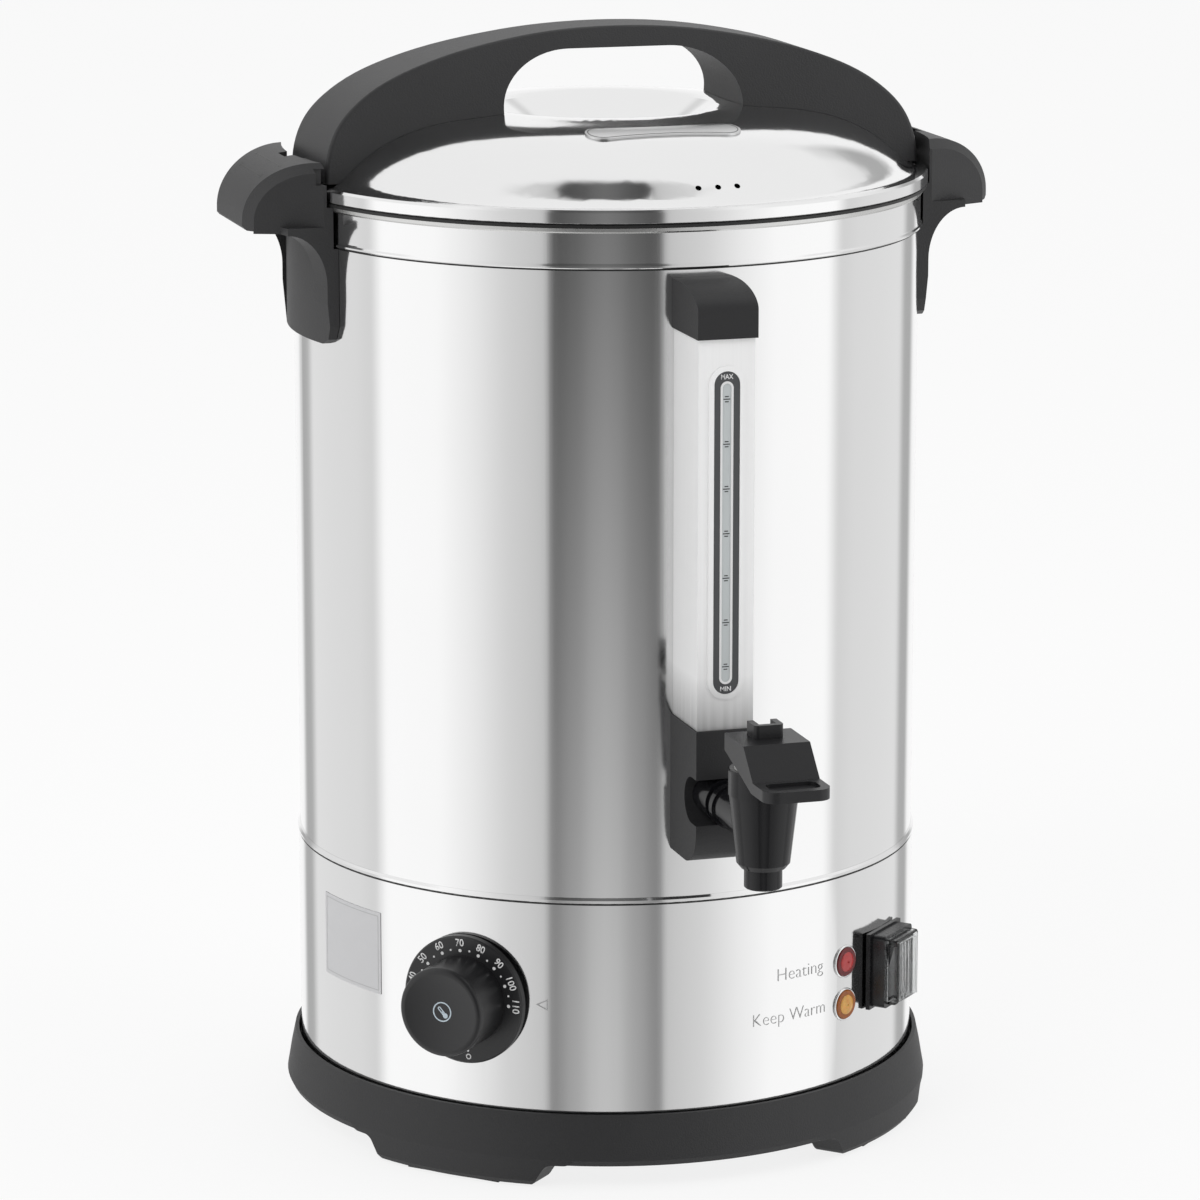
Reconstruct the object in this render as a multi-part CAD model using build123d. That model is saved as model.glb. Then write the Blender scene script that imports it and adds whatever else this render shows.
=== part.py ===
from build123d import *

import os
from math import asin, cos, degrees, radians, sin, sqrt

# Hot water urn. Millimetres. The origin is on the urn's axis at floor level, +Z is up,
# the tap faces -Y and the side handles lie along X. Azimuths run from the tap towards +X.

# ------------------------------------------------------------------ fits and sheet
SHEET = 0.6                # outer steel sheet
TANK_SHEET = 0.8           # tank and lid sheet
EASE = 0.1                 # gap between pieces fitted side by side
FREE = 0.3                 # gap between curved faces of different bodies
RUN = 0.05                 # radial clearance of pins and shafts
BIG = 400.0                # reach of cutting tools

# ------------------------------------------------------------------ urn: radii
BODY_R = 134.7             # outer shell
HOUSING_PROUD = 0.7        # lower housing beyond the shell
BEAD_PROUD = 1.2           # step between housing and shell
COLLAR_PROUD = 0.9         # collar band beyond the shell
COLLAR_BEAD_PROUD = 0.6    # bead at the collar's foot, beyond the band
RIM_PROUD = 1.1            # rolled rim beyond the collar band
FLANGE_PROUD = 3.8         # lid flange beyond the shell
TANK_INSET = 5.1           # tank wall inside the shell
BASE_TOP_PROUD = 3.5       # base ring at its top
BASE_FLARE = 3.6           # further flare at its foot
BASE_WALL = 3.0

# ------------------------------------------------------------------ urn: heights
FOOT_H = 10.0
SKIRT_H = 21.5
SEAT_DROP = 6.5            # housing's edge below the base ring's top
HOUSING_H = 97.8           # from its seat to the step
STEP_H = 2.5
SHELL_H = 264.0
GROOVE_H = 0.9             # dark groove under the collar
COLLAR_H = 16.2
RIM_H = 0.9
RIM_ROLL = 1.5             # rolled rim below the collar's top
SEAL_H = 1.2
FLANGE_H = 6.0
DOME_H = 26.8              # lid dome above its flange
BOW_RISE = 34.8            # bow's crown above the dome

R_HOUSING = BODY_R + HOUSING_PROUD
R_COLLAR = BODY_R + COLLAR_PROUD
R_RIM = R_COLLAR + RIM_PROUD
R_FLANGE = BODY_R + FLANGE_PROUD
R_TANK = BODY_R - TANK_INSET
R_TANK_IN = R_TANK - TANK_SHEET
R_SHELL_IN = BODY_R - SHEET
R_HOUSING_IN = R_HOUSING - SHEET
R_BASE_TOP = BODY_R + BASE_TOP_PROUD
R_BASE = R_BASE_TOP + BASE_FLARE

Z_BASE_TOP = FOOT_H + SKIRT_H
Z_SEAT = Z_BASE_TOP - SEAT_DROP
Z_STEP = Z_SEAT + HOUSING_H
Z_SHELL = Z_STEP + STEP_H
Z_SHELL_TOP = Z_SHELL + SHELL_H
Z_COLLAR = Z_SHELL_TOP + GROOVE_H
Z_RIM = Z_COLLAR + COLLAR_H
Z_RIM_TOP = Z_RIM + RIM_H
Z_FLANGE = Z_RIM_TOP + SEAL_H
Z_FLANGE_TOP = Z_FLANGE + FLANGE_H
Z_DOME = Z_FLANGE_TOP + DOME_H
Z_BOW = Z_DOME + BOW_RISE

# ------------------------------------------------------------------ base
FOOT_AZIMUTHS = (45, 135, 225, 315)
FOOT_HALF = 37.0           # half width of a foot at the floor
FOOT_SLOPE = 6.0           # extra half width where it joins the skirt
FOOT_BLEND = 12.0          # reach of the curve that leads into the skirt
FOOT_ROUND = 5.0
FOOT_DEPTH = 14.0
PAD_T = 3.0
PAD_PROUD = 0.6
PAD_HALF = 22.0
PAD_W = 8.0
LEDGE_T = 3.0              # base ring's floor, which the housing stands on
LEDGE_IN = 14.0            # how far the floor reaches in
PLATE_T = 1.0
BASE_SCREWS = 4
SCREW_R = 2.0
BASE_SCREW_LENGTH = 9.0
VENT_W = 4.0
VENT_L = 34.0

# ------------------------------------------------------------------ tank and lid
RING_LEG = 12.0            # joint ring's legs inside shell and housing
RING_T = 2.2
SHELF_T = 2.0
SHELF_IN = 14.0
TANK_FLOOR_LIFT = 5.5      # tank floor above the step
TANK_CORNER = 7.0
COLLAR_LIP = 6.0
DISH_R = 52.0              # rim of the lid's dished centre
DISH_FLOOR_R = 29.0
DISH_DEPTH = 14.0
LID_SKIRT_GAP = 2.8        # lid's inner skirt inside the tank
LID_SKIRT_H = 11.0
VENT_HOLE_R = 1.3
VENT_PITCH = 8.6           # between the lid's steam holes
VENT_AZIMUTH = 4.8
VENT_AT = 0.872            # vents' place along the dome, as a share of its length
BADGE_L = 67.0
BADGE_W = 16.0
BADGE_T = 0.8
TURN = 10.0                # bayonet turn, degrees
FLANGE_EDGE = 5.5          # flat of the flange outside the dome
DOME_RUN = R_FLANGE - FLANGE_EDGE - DISH_R
BADGE_RADIUS = DISH_R + 0.36 * DOME_RUN    # badge's centre from the urn's axis
DISH_ROLL = 2.5            # from the dish's slope to its rim
DOME_CURVE = (             # dome from the dish's rim to the flange: shares of run and fall
    (0.140, 0.0), (0.368, 0.071), (0.533, 0.175), (0.673, 0.332),
    (0.800, 0.552), (0.895, 0.795), (0.967, 0.970))
SEAL_DROP = 8.4            # seal's inner leg below the flange

# ------------------------------------------------------------------ bow handle on the lid
BOW_END_GAP = 7.0          # bow's ends inside the flange's edge
BOW_END_W = 29.5           # half widths of the bow: at its ends, mid height and crown
BOW_MID_W = 26.0
BOW_TOP_W = 13.0
BOW_CROWN_T = 8.6
GRIP_HALF_L = 53.0         # half length of the hand opening
GRIP_SHOULDER = 31.0       # length and height of the arch's rounded shoulders
GRIP_SHOULDER_H = 24.0
BOW_EDGE = 1.6
BOW_FOOT = 0.9             # bow's lower edge above the flange
TAB_L = 10.6               # bayonet tab beyond the bow's end
TAB_HALF = 5.0
TAB_T = 5.2
TAB_LIFT = 2.4             # tab above the flange
BOW_SCREW_X = DISH_R + 0.381 * DOME_RUN
BOW_SCREW_FALL = 0.110     # dome's fall at the bow's screws, as a share of its height
BOW_SCREW_GRIP = 9.0       # bow screws in the plastic, above the dome
BOW_HALF_L = R_FLANGE - BOW_END_GAP

# ------------------------------------------------------------------ side handles
WING_REACH = 31.3          # wing tip beyond the shell
WING_H = 29.5
WING_ROOT_W = 40.0         # half widths
WING_TIP_W = 27.0
WING_EDGE = 4.0
TIP_H = 5.0                # height of the wing's blunt tip
LEG_DROP = 47.2            # leg below the wing
LEG_T = 4.8
LEG_CORNER = 8.0
GUSSET_OUT = 16.0          # hollow curve between leg and wing
GUSSET_H = 22.0
PANEL_OUT = 3.2            # sunk panel between the leg's ribs, beyond the shell
PANEL_HALF = 29.0
GROOVE_DEPTH = 6.4
LIP_T = 2.0
WALL = 3.6                 # handle wall round the finger pocket
HANDLE_SCREW_R = 2.0
HANDLE_SCREW_HEAD_R = 4.0
SCREW_REACH = 2.8          # depth of the screws in the leg

# ------------------------------------------------------------------ tap and gauge column
COLUMN_FRONT = 32.3        # gauge channel beyond the shell
COLUMN_HALF = 12.0
BLOCK_HALF = 12.8
BLOCK_PROUD = 1.5          # block and cap beyond the channel
BLOCK_LIFT = 21.2          # block's foot above the step
BLOCK_H = 57.5
BLOCK_ROUND = 15.0
CAP_H = 20.4
CAP_DROP = 4.0             # cap's top below the collar
CAP_NOSE = 28.0            # cap's oval nose: depth and height
CAP_ROUND = 9.0
BLOCK_Z = Z_SHELL + BLOCK_LIFT
CHANNEL_H = Z_COLLAR - CAP_DROP - CAP_H - BLOCK_H - BLOCK_Z
CASE_T = 2.2
CHANNEL_T = 0.8
TUCK = 3.0                 # channel's ends inside block and cap
SLOT_W = 11.0
SLOT_FOOT = 15.0           # slot's foot above the block
SLOT_HEAD = 13.2           # slot's head below the cap
SLOT_H = CHANNEL_H - SLOT_FOOT - SLOT_HEAD
SLOT_RIM = 2.2
RIM_T = 0.6
BEZEL_T = 2.4
BEZEL_FLANGE = 2.0         # bezel's flange behind the slot's edge
BEZEL_END = 4.1            # window's ends inside the slot's
WINDOW_W = 5.6
WINDOW_H = SLOT_H - 2 * BEZEL_END
WINDOW_T = 1.4
TUBE_R = 5.0
TUBE_WALL = 1.2
TUBE_OUT = COLUMN_FRONT - 9.0
TUBE_TOP = 8.0             # tube's end above the channel
SHANK_Z = BLOCK_Z + 27.5
SHANK_R = 8.0
SHANK_BORE = 5.5
TROUGH_R = 9.7
TROUGH_IN = 6.0            # trough's axis behind the block's face
COLLAR_R = 10.0
ELBOW_R = 5.6
ELBOW_BORE = 3.0
SOCKET_R = 7.2
ELBOW_OUT = 9.5            # elbow's riser beyond the shell
ELBOW_RISE = 20.0
TAP_OUT = COLUMN_FRONT + 49.5
CONE_TOP_R = 14.1
CONE_FOOT_R = 10.9
CONE_H = 30.5
CONE_TOP_Z = SHANK_Z + 15.5
CHAMBER_R = 9.6
SEAT_Z = SHANK_Z - 8.0
OUTLET_R = 7.75
OUTLET_BORE = 5.5
OUTLET_H = 8.4
NECK_R = 9.4
BONNET_R = 14.4
BONNET_H = 10.6
GLAND_R = 12.0
GLAND_H = 2.4
STEM_R = 2.5
SEAT_R = 8.6
SEAT_T = 4.0
SPRING_R = 6.2
SPRING_WIRE = 0.5
SPRING_TURNS = 5
PIVOT_OUT = 10.0           # lever's pivot in front of the stem
PIVOT_Z = SHANK_Z + 31.5
PIVOT_R = 1.4
LEVER_HALF = 14.0
LEVER_T = 3.0
LEVER_TOP = 8.0            # lever's top above the pivot
LEVER_BACK = 8.0           # behind the stem
LEVER_FLAT = 15.5          # to the bend, in front of the stem
LEVER_SLOPE = 12.0
LEVER_DROP = 12.2
PAD_L = 17.0
PAD_THICK = 4.6
LOCK_HALF = 6.2
LOCK_L = 10.0
LOCK_H = 5.6
LOCK_T = 2.6
LEVER_TRAVEL = 20.0        # degrees

# ------------------------------------------------------------------ controls
CONTROL_Z = 78.5
DIAL_AZIMUTH = -42.5
DIAL_R = 27.7
DIAL_T = 3.4
KNOB_R = 19.2
KNOB_H = 21.0
KNOB_DISH = 2.2
KNOB_SHAFT_R = 3.0
THERMOSTAT_W = 36.0
THERMOSTAT_D = 20.0
LAMP_AZIMUTH = 32.0
LAMP_R = 6.3
LAMP_T = 1.4
LAMP_HOLE_R = 5.0
LAMP_DEPTH = 24.0
LAMP_PITCH = 19.0
LAMP_Z = 65.5              # lower lamp
SWITCH_AZIMUTH = 44.5
SWITCH_Z = 76.5
SWITCH_W = 27.0
SWITCH_H = 32.0
SWITCH_LIP = 2.0
SWITCH_OUT = 8.2
SWITCH_IN = 20.0
ROCKER_W = 17.0
ROCKER_H = 24.0
ROCKER_TILT = 8.0
COVER_OUT = 5.0
COVER_T = 1.0
INLET_Z = 62.0
INLET_W = 27.0
INLET_H = 20.0
INLET_D = 17.0
INLET_FLANGE_W = 50.0
INLET_FLANGE_T = 2.4
INLET_SCREW_PITCH = 40.0
PIN_W = 4.0
PIN_T = 2.0
PIN_L = 14.0

# ------------------------------------------------------------------ heating
ELEMENT_PLATE_R = 78.0
ELEMENT_PLATE_T = 4.0
ELEMENT_R = 62.0
ELEMENT_TUBE_R = 4.0
STUD_R = 2.5
STUD_L = 16.0
SHIELD_R = 96.0
SHIELD_T = 0.8
CUTOUT_X = 30.0
CUTOUT_R = 9.0
CUTOUT_H = 9.0
RESET_R = 4.0
RESET_ROD_R = 2.0
RESET_TRAVEL = 2.0
RESET_PROUD = 3.0
BULB_R = 3.0
BULB_L = 60.0
WIRE_R = 1.3
WIRE_BEND = 5.0
WIRE_LEAD = 15.0           # straight run of a lead before its first bend


# ================================================================== helpers
def turned(*points):
    """Solid of revolution about the urn's axis, from (radius, height) corners."""
    return revolve(Plane.XZ * make_face(Polyline(*points, close=True)), Axis.Z)


def tube(r_out, r_in, z_low, z_high):
    return turned((r_in, z_low), (r_out, z_low), (r_out, z_high), (r_in, z_high))


def disc(r, z_low, z_high, x=0.0, y=0.0):
    return Pos(x, y, z_low) * Cylinder(r, z_high - z_low, align=(Align.CENTER, Align.CENTER, Align.MIN))


def block(x, y, z):
    """Box from three (low, high) pairs."""
    corner = Pos(x[0], y[0], z[0])
    return corner * Box(x[1] - x[0], y[1] - y[0], z[1] - z[0], align=(Align.MIN,) * 3)


def facing(azimuth, radius, height):
    """Plane that stands on the urn's side: x to the right seen from outside, y up, z outward."""
    a = radians(azimuth)
    outward = Vector(sin(a), -cos(a), 0)
    return Plane(origin=outward * radius + Vector(0, 0, height), x_dir=(cos(a), sin(a), 0), z_dir=outward)


def spot(azimuth, radius):
    """Plan coordinates of a point around the urn."""
    return radius * sin(radians(azimuth)), -radius * cos(radians(azimuth))


def peg(plane, r, z_low, z_high, x=0.0, y=0.0):
    """Cylinder along a plane's normal."""
    return plane * disc(r, z_low, z_high, x, y)


def slab(plane, half_w, half_h, z_low, z_high, x=0.0, y=0.0):
    return plane * block((x - half_w, x + half_w), (y - half_h, y + half_h), (z_low, z_high))


def slot(plane, width, height, z_low, z_high):
    shape = Pos(0, 0, z_low) * SlotOverall(height, width, rotation=90)
    return plane * extrude(shape, amount=z_high - z_low)


def ahead(r, near, far, z, x=0.0):
    """Cylinder that runs towards -Y, between two distances from the urn's axis."""
    return peg(facing(0, 0, z), r, near, far, x)


def across(r, half, out, z):
    """Cylinder along X, at a distance from the urn's axis towards -Y."""
    return Pos(0, -out, z) * Rot(0, 90, 0) * Cylinder(r, 2 * half)


def wall_depth(r, offset):
    """How far a cylinder's face lies from the urn's axis at a sideways offset."""
    return sqrt(r * r - offset * offset)


# ================================================================== base
def base_ring():
    z_ledge = Z_SEAT - LEDGE_T
    r_gap = R_HOUSING + 1.2
    skirt = turned(
        (r_gap, Z_BASE_TOP), (R_BASE_TOP, Z_BASE_TOP), (R_BASE_TOP + 0.5 * BASE_FLARE, FOOT_H + 0.6 * SKIRT_H),
        (R_BASE, FOOT_H + 2.5), (R_BASE - 1.2, FOOT_H), (R_BASE - BASE_WALL, FOOT_H),
        (R_BASE_TOP - BASE_WALL + 1, z_ledge), (R_HOUSING - LEDGE_IN, z_ledge), (R_HOUSING - LEDGE_IN, Z_SEAT),
        (r_gap, Z_SEAT))
    spigot = tube(R_HOUSING_IN - EASE, R_HOUSING_IN - EASE - 2, Z_SEAT, Z_BASE_TOP)
    ring = skirt + spigot
    foot_zone = turned(
        (R_BASE - FOOT_DEPTH, PAD_PROUD), (R_BASE - 2, PAD_PROUD), (R_BASE - 0.6, PAD_PROUD + 2),
        (R_BASE, FOOT_H + 2.5), (R_BASE - 1.0, FOOT_H + 2.5), (R_BASE - FOOT_DEPTH, z_ledge))
    for azimuth in FOOT_AZIMUTHS:
        ring += foot_zone & foot_prism(azimuth)
    for azimuth in FOOT_AZIMUTHS:
        ring -= foot_pad(azimuth, EASE)
    for azimuth in base_screw_azimuths():
        place = spot(azimuth, base_screw_radius())
        boss = disc(SCREW_R + 2.4, Z_SEAT, Z_SEAT + BASE_SCREW_LENGTH, *place)
        hole = disc(SCREW_R, 0, z_screw_top(), *place)
        ring = ring + boss - hole
    return ring


def foot_reach():
    return FOOT_HALF + FOOT_SLOPE + FOOT_BLEND


def foot_prism(azimuth):
    """Foot outline whose sides curve into the skirt, run through the ring along the foot's radius."""
    low, high, wide = FOOT_HALF, FOOT_HALF + FOOT_SLOPE, foot_reach()
    outline = FilletPolyline(
        (-wide, Z_SEAT), (-wide, FOOT_H), (-high, FOOT_H), (-low, 0), (low, 0), (high, FOOT_H), (wide, FOOT_H),
        (wide, Z_SEAT), radius=FOOT_ROUND, close=True)
    return facing(azimuth, R_BASE - 3 * FOOT_DEPTH, 0) * extrude(make_face(outline), amount=4 * FOOT_DEPTH)


def foot_pad(azimuth, ease=0.0):
    centre = facing(azimuth, R_BASE - 0.5 * FOOT_DEPTH - 1, 0)
    spot = centre.location * Rot(-90, 0, 0)
    size = Box(2 * (PAD_HALF + ease), PAD_W + 2 * ease, PAD_T, align=(Align.CENTER, Align.CENTER, Align.MIN))
    return spot * size


def base_screw_azimuths():
    return [360 / BASE_SCREWS * i for i in range(BASE_SCREWS)]


def base_screw_radius():
    return R_HOUSING - LEDGE_IN + 5


def z_plate():
    return Z_SEAT - LEDGE_T - PLATE_T


def z_screw_top():
    return z_plate() + BASE_SCREW_LENGTH + 1


def base_plate():
    plate = disc(R_BASE_TOP - BASE_WALL - 2, z_plate(), z_plate() + PLATE_T)
    for azimuth in FOOT_AZIMUTHS:
        notch = slab(facing(azimuth, R_BASE, 0), foot_reach() + EASE, Z_SEAT, -4 * FOOT_DEPTH, FOOT_DEPTH)
        plate -= notch - disc(R_BASE - FOOT_DEPTH - EASE, -BIG, BIG)
    for azimuth in base_screw_azimuths():
        plate -= disc(SCREW_R + 0.2, 0, Z_SEAT, *spot(azimuth, base_screw_radius()))
    for side in (-1, 1):
        for i in range(7):
            x = side * 55 + (i - 3) * 2.5 * VENT_W
            plate -= Pos(x, 0, z_plate()) * Box(VENT_W, VENT_L, 4 * PLATE_T)
    return plate - disc(RESET_R + 0.5, 0, Z_SEAT, CUTOUT_X, -CUTOUT_X)


def plate_screws():
    screws = []
    for azimuth in base_screw_azimuths():
        x, y = spot(azimuth, base_screw_radius())
        shank = disc(SCREW_R - EASE, z_plate() - 0.1, z_plate() + BASE_SCREW_LENGTH, x, y)
        head = disc(2 * SCREW_R, z_plate() - 2.2, z_plate(), x, y)
        head -= Pos(x, y, z_plate() - 2.2) * Box(1, 6, 1.6)
        screws.append(shank + head)
    return screws


# ================================================================== outer skins
def lower_housing():
    skin = tube(R_HOUSING, R_HOUSING_IN, Z_SEAT, Z_STEP)
    dial = facing(DIAL_AZIMUTH, R_HOUSING, CONTROL_Z)
    skin -= peg(dial, KNOB_SHAFT_R + 2.2, -10, 10)
    for height in lamp_heights():
        skin -= peg(facing(LAMP_AZIMUTH, R_HOUSING, height), LAMP_HOLE_R + EASE, -10, 10)
    skin -= slab(switch_plane(), 0.5 * SWITCH_W - 1, 0.5 * SWITCH_H - 2, -10, 10)
    inlet = inlet_plane()
    skin -= slab(inlet, 0.5 * INLET_W + 2, 0.5 * INLET_H + 2, -10, 10)
    for side in (-1, 1):
        skin -= peg(inlet, 1.7, -10, 10, 0.5 * side * INLET_SCREW_PITCH)
        skin -= peg(dial, 1.7, -10, 10, 14 * side)
    return skin


def joint_ring():
    """Rolled step between housing and shell, with a leg in each and a shelf for the tank."""
    r_out = R_SHELL_IN - EASE
    r_in = r_out - RING_T
    shelf_top = z_tank_floor()
    r_step = BODY_R + BEAD_PROUD
    return turned(
        (r_in, Z_STEP - RING_LEG), (r_out, Z_STEP - RING_LEG), (r_out, Z_STEP), (r_step - 0.5, Z_STEP),
        (r_step, Z_STEP + 0.5), (r_step, Z_SHELL - 0.9), (r_step - 0.9, Z_SHELL), (r_out, Z_SHELL),
        (r_out, Z_STEP + RING_LEG), (r_in, Z_STEP + RING_LEG), (r_in, shelf_top - SHELF_T + 1),
        (r_in - SHELF_IN, shelf_top), (r_in - SHELF_IN, shelf_top - SHELF_T), (r_in, shelf_top - 2 * SHELF_T))


def z_tank_floor():
    return Z_STEP + TANK_FLOOR_LIFT


def outer_shell():
    skin = tube(BODY_R, R_SHELL_IN, Z_SHELL, Z_SHELL_TOP)
    skin -= ahead(SHANK_R + EASE, R_TANK, BODY_R + 5, SHANK_Z)
    for x, z in cap_screws():
        skin -= ahead(1.7, R_TANK, BODY_R + 5, z, x)
    for azimuth in (90, 270):
        for z in handle_screw_heights():
            skin -= peg(facing(azimuth, BODY_R, z), HANDLE_SCREW_R + EASE, -10, 10)
    return skin


def rim_collar():
    r_lip = R_SHELL_IN - EASE
    bead = R_COLLAR + COLLAR_BEAD_PROUD
    return turned(
        (r_lip - SHEET, Z_SHELL_TOP - COLLAR_LIP), (r_lip, Z_SHELL_TOP - COLLAR_LIP), (r_lip, Z_COLLAR),
        (bead - 0.4, Z_COLLAR), (bead, Z_COLLAR + 0.4), (bead, Z_COLLAR + 1.1), (bead - 0.5, Z_COLLAR + 1.8),
        (R_COLLAR, Z_COLLAR + 2.2), (R_COLLAR, Z_RIM), (R_COLLAR - SHEET, Z_RIM), (R_COLLAR - SHEET, Z_COLLAR + 2),
        (r_lip - SHEET, Z_COLLAR + SHEET))


def inner_tank():
    floor = z_tank_floor()
    r_floor = R_TANK - TANK_CORNER
    tank = turned(
        (0, floor), (r_floor, floor), (R_TANK, floor + TANK_CORNER), (R_TANK, Z_RIM), (R_COLLAR + 0.2, Z_RIM),
        (R_COLLAR + 0.2, Z_RIM - RIM_ROLL), (R_RIM - 0.4, Z_RIM - RIM_ROLL), (R_RIM, Z_RIM - RIM_ROLL + 0.6),
        (R_RIM, Z_RIM_TOP - 0.4),
        (R_RIM - 0.4, Z_RIM_TOP), (R_TANK_IN, Z_RIM_TOP), (R_TANK_IN, floor + TANK_CORNER + 0.5),
        (r_floor - 0.5, floor + TANK_SHEET), (0, floor + TANK_SHEET))
    tank -= ahead(SHANK_R + EASE, R_TANK_IN - 5, R_TANK + 2, SHANK_Z)
    return tank - bulb_hole()


# ================================================================== lid
def lid_outline(drop=0.0):
    """Half section of the lid's top face, dish to flange, lowered by a sheet's thickness."""
    shoulder = Z_DOME - drop
    dish_floor = shoulder - DISH_DEPTH
    lip = (DISH_R - DISH_ROLL, shoulder - 0.5 * DISH_ROLL)
    dish = Polyline((0, dish_floor), (DISH_FLOOR_R, dish_floor), lip)
    dome = [(DISH_R + run * DOME_RUN, shoulder - fall * DOME_H) for run, fall in DOME_CURVE]
    roll = Spline(lip, (DISH_R, shoulder - 0.1), *dome, (DISH_R + DOME_RUN, shoulder - DOME_H))
    return dish, roll


def lid_pan():
    top_dish, top_roll = lid_outline()
    low_dish, low_roll = lid_outline(TANK_SHEET)
    start, end = top_roll @ 1, low_roll @ 1
    r_skirt = R_TANK_IN - LID_SKIRT_GAP
    z_skirt = Z_FLANGE - LID_SKIRT_H
    rim = Polyline(
        start, (R_FLANGE - 1.0, Z_FLANGE_TOP), (R_FLANGE, Z_FLANGE_TOP - 1.0), (R_FLANGE, Z_FLANGE + 0.8),
        (R_FLANGE - 0.8, Z_FLANGE), (r_skirt, Z_FLANGE), (r_skirt, z_skirt + 1.6), (r_skirt + 0.6, z_skirt + 1.0),
        (r_skirt, z_skirt), (r_skirt - TANK_SHEET, z_skirt), (r_skirt - TANK_SHEET, Z_FLANGE_TOP - TANK_SHEET), end)
    closing = Line(low_dish @ 0, top_dish @ 0)
    section = make_face([top_dish, top_roll, rim, low_roll, low_dish, closing])
    pan = revolve(Plane.XZ * section, Axis.Z)
    at, along = top_roll @ VENT_AT, top_roll % VENT_AT
    for i in (-1, 0, 1):
        a = radians(VENT_AZIMUTH + i * degrees(VENT_PITCH / at.X))
        normal = (-along.Y * sin(a), along.Y * cos(a), along.X)
        hole = Cylinder(VENT_HOLE_R, 4 * TANK_SHEET)
        pan -= Plane(origin=(at.X * sin(a), -at.X * cos(a), at.Y), z_dir=normal) * hole
    for x in bow_screws():
        pan -= disc(SCREW_R + 0.2, Z_FLANGE, Z_DOME + 5, x)
    return pan


def lid_envelope(gap):
    """Everything at or under the lid's top face, raised by a gap."""
    dish, roll = lid_outline(-gap)
    section = make_face([Line((0, Z_FLANGE), dish @ 0), dish, roll,
                         Polyline(roll @ 1, (R_FLANGE + gap, Z_FLANGE_TOP + gap), (R_FLANGE + gap, Z_FLANGE),
                                  (0, Z_FLANGE))])
    return revolve(Plane.XZ * section, Axis.Z)


def lid_seal():
    """Silicone ring that hugs the lid's skirt and closes on the tank's rim."""
    r_skirt = R_TANK_IN - LID_SKIRT_GAP + EASE
    bottom = Z_RIM_TOP
    return turned(
        (r_skirt, Z_FLANGE - RUN), (r_skirt, Z_FLANGE - SEAL_DROP), (R_TANK_IN - 0.6, Z_FLANGE - SEAL_DROP),
        (R_TANK_IN - 0.6, bottom), (R_FLANGE - 0.4, bottom), (R_FLANGE - 0.4, Z_FLANGE - RUN))


def lid_badge():
    """Oval plate on the dome in front of the dish, pressed to the dome's curve."""
    outline = Pos(0, -BADGE_RADIUS, Z_FLANGE) * SlotOverall(BADGE_L, BADGE_W)
    column = extrude(outline, amount=DOME_H + 5)
    return (column & lid_envelope(BADGE_T + RUN)) - lid_envelope(RUN)


def bow_screws():
    return (-BOW_SCREW_X, BOW_SCREW_X)


def bow_bottom():
    return Z_FLANGE_TOP + BOW_FOOT


def bow_outline():
    """Side view of the bow, in the XZ plane."""
    rise = Z_BOW - bow_bottom()
    half = [(0, 1), (0.27, 0.967), (0.43, 0.912), (0.56, 0.850), (0.70, 0.755), (0.815, 0.643), (0.895, 0.522),
            (0.955, 0.38), (0.99, 0.205), (1, 0)]
    right = [(BOW_HALF_L * a, bow_bottom() + rise * b) for a, b in half]
    left = [(-x, z) for x, z in right]
    top = Spline(*left[:0:-1], *right)
    return make_face([top, Polyline(top @ 1, (BOW_HALF_L, Z_FLANGE), (-BOW_HALF_L, Z_FLANGE), top @ 0)])


def bow_section():
    """End view of the bow: wide where it sits on the lid, narrow at the crown."""
    knots = [(BOW_END_W + 1, Z_FLANGE - 2), (BOW_END_W, Z_FLANGE + 20), (BOW_MID_W, Z_BOW - 29),
             (BOW_MID_W - 6, Z_BOW - 11), (BOW_TOP_W, Z_BOW + 0.5), (BOW_TOP_W - 3, Z_BOW + 5)]
    right = Spline(*knots)
    left = Spline(*[(-y, z) for y, z in knots])
    return make_face([right, Line(right @ 1, left @ 1), left, Line(left @ 0, right @ 0)])


def grip_opening():
    """Hand opening under the crown, with rounded shoulders."""
    half, top = GRIP_HALF_L, Z_BOW - BOW_CROWN_T
    x, z = half - GRIP_SHOULDER, top - GRIP_SHOULDER_H
    right = EllipticalCenterArc((x, z), GRIP_SHOULDER, GRIP_SHOULDER_H, 0, arc_size=90)
    left = EllipticalCenterArc((-x, z), GRIP_SHOULDER, GRIP_SHOULDER_H, 90, arc_size=90)
    foot = Polyline(left @ 1, (-half, Z_FLANGE), (half, Z_FLANGE), right @ 0)
    shape = make_face([right, Line(right @ 1, left @ 0), left, foot])
    return extrude(Plane.XZ * shape, amount=BIG, both=True)


def lid_handle():
    bow = extrude(Plane.XZ * bow_outline(), amount=60, both=True)
    bow &= extrude(Plane.YZ * bow_section(), amount=200, both=True)
    crown = bow.edges().filter_by(lambda e: e.length > BOW_HALF_L)
    crown = crown.filter_by(lambda e: e.center().Z > Z_FLANGE_TOP)
    bow = fillet(crown, BOW_EDGE)
    bow -= block((-200, 200), (-60, 60), (0, bow_bottom()))
    tab_z = (Z_FLANGE_TOP + TAB_LIFT, Z_FLANGE_TOP + TAB_LIFT + TAB_T)
    for side in (-1, 1):
        root = side * (BOW_HALF_L - 4)
        bow += block(sorted((root, side * (BOW_HALF_L + TAB_L))), (-TAB_HALF, TAB_HALF), tab_z)
    bow = bow - lid_envelope(RUN) - grip_opening()
    for x in bow_screws():
        bow -= disc(SCREW_R, Z_FLANGE, Z_DOME + BOW_SCREW_GRIP, x)
    return bow


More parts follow.
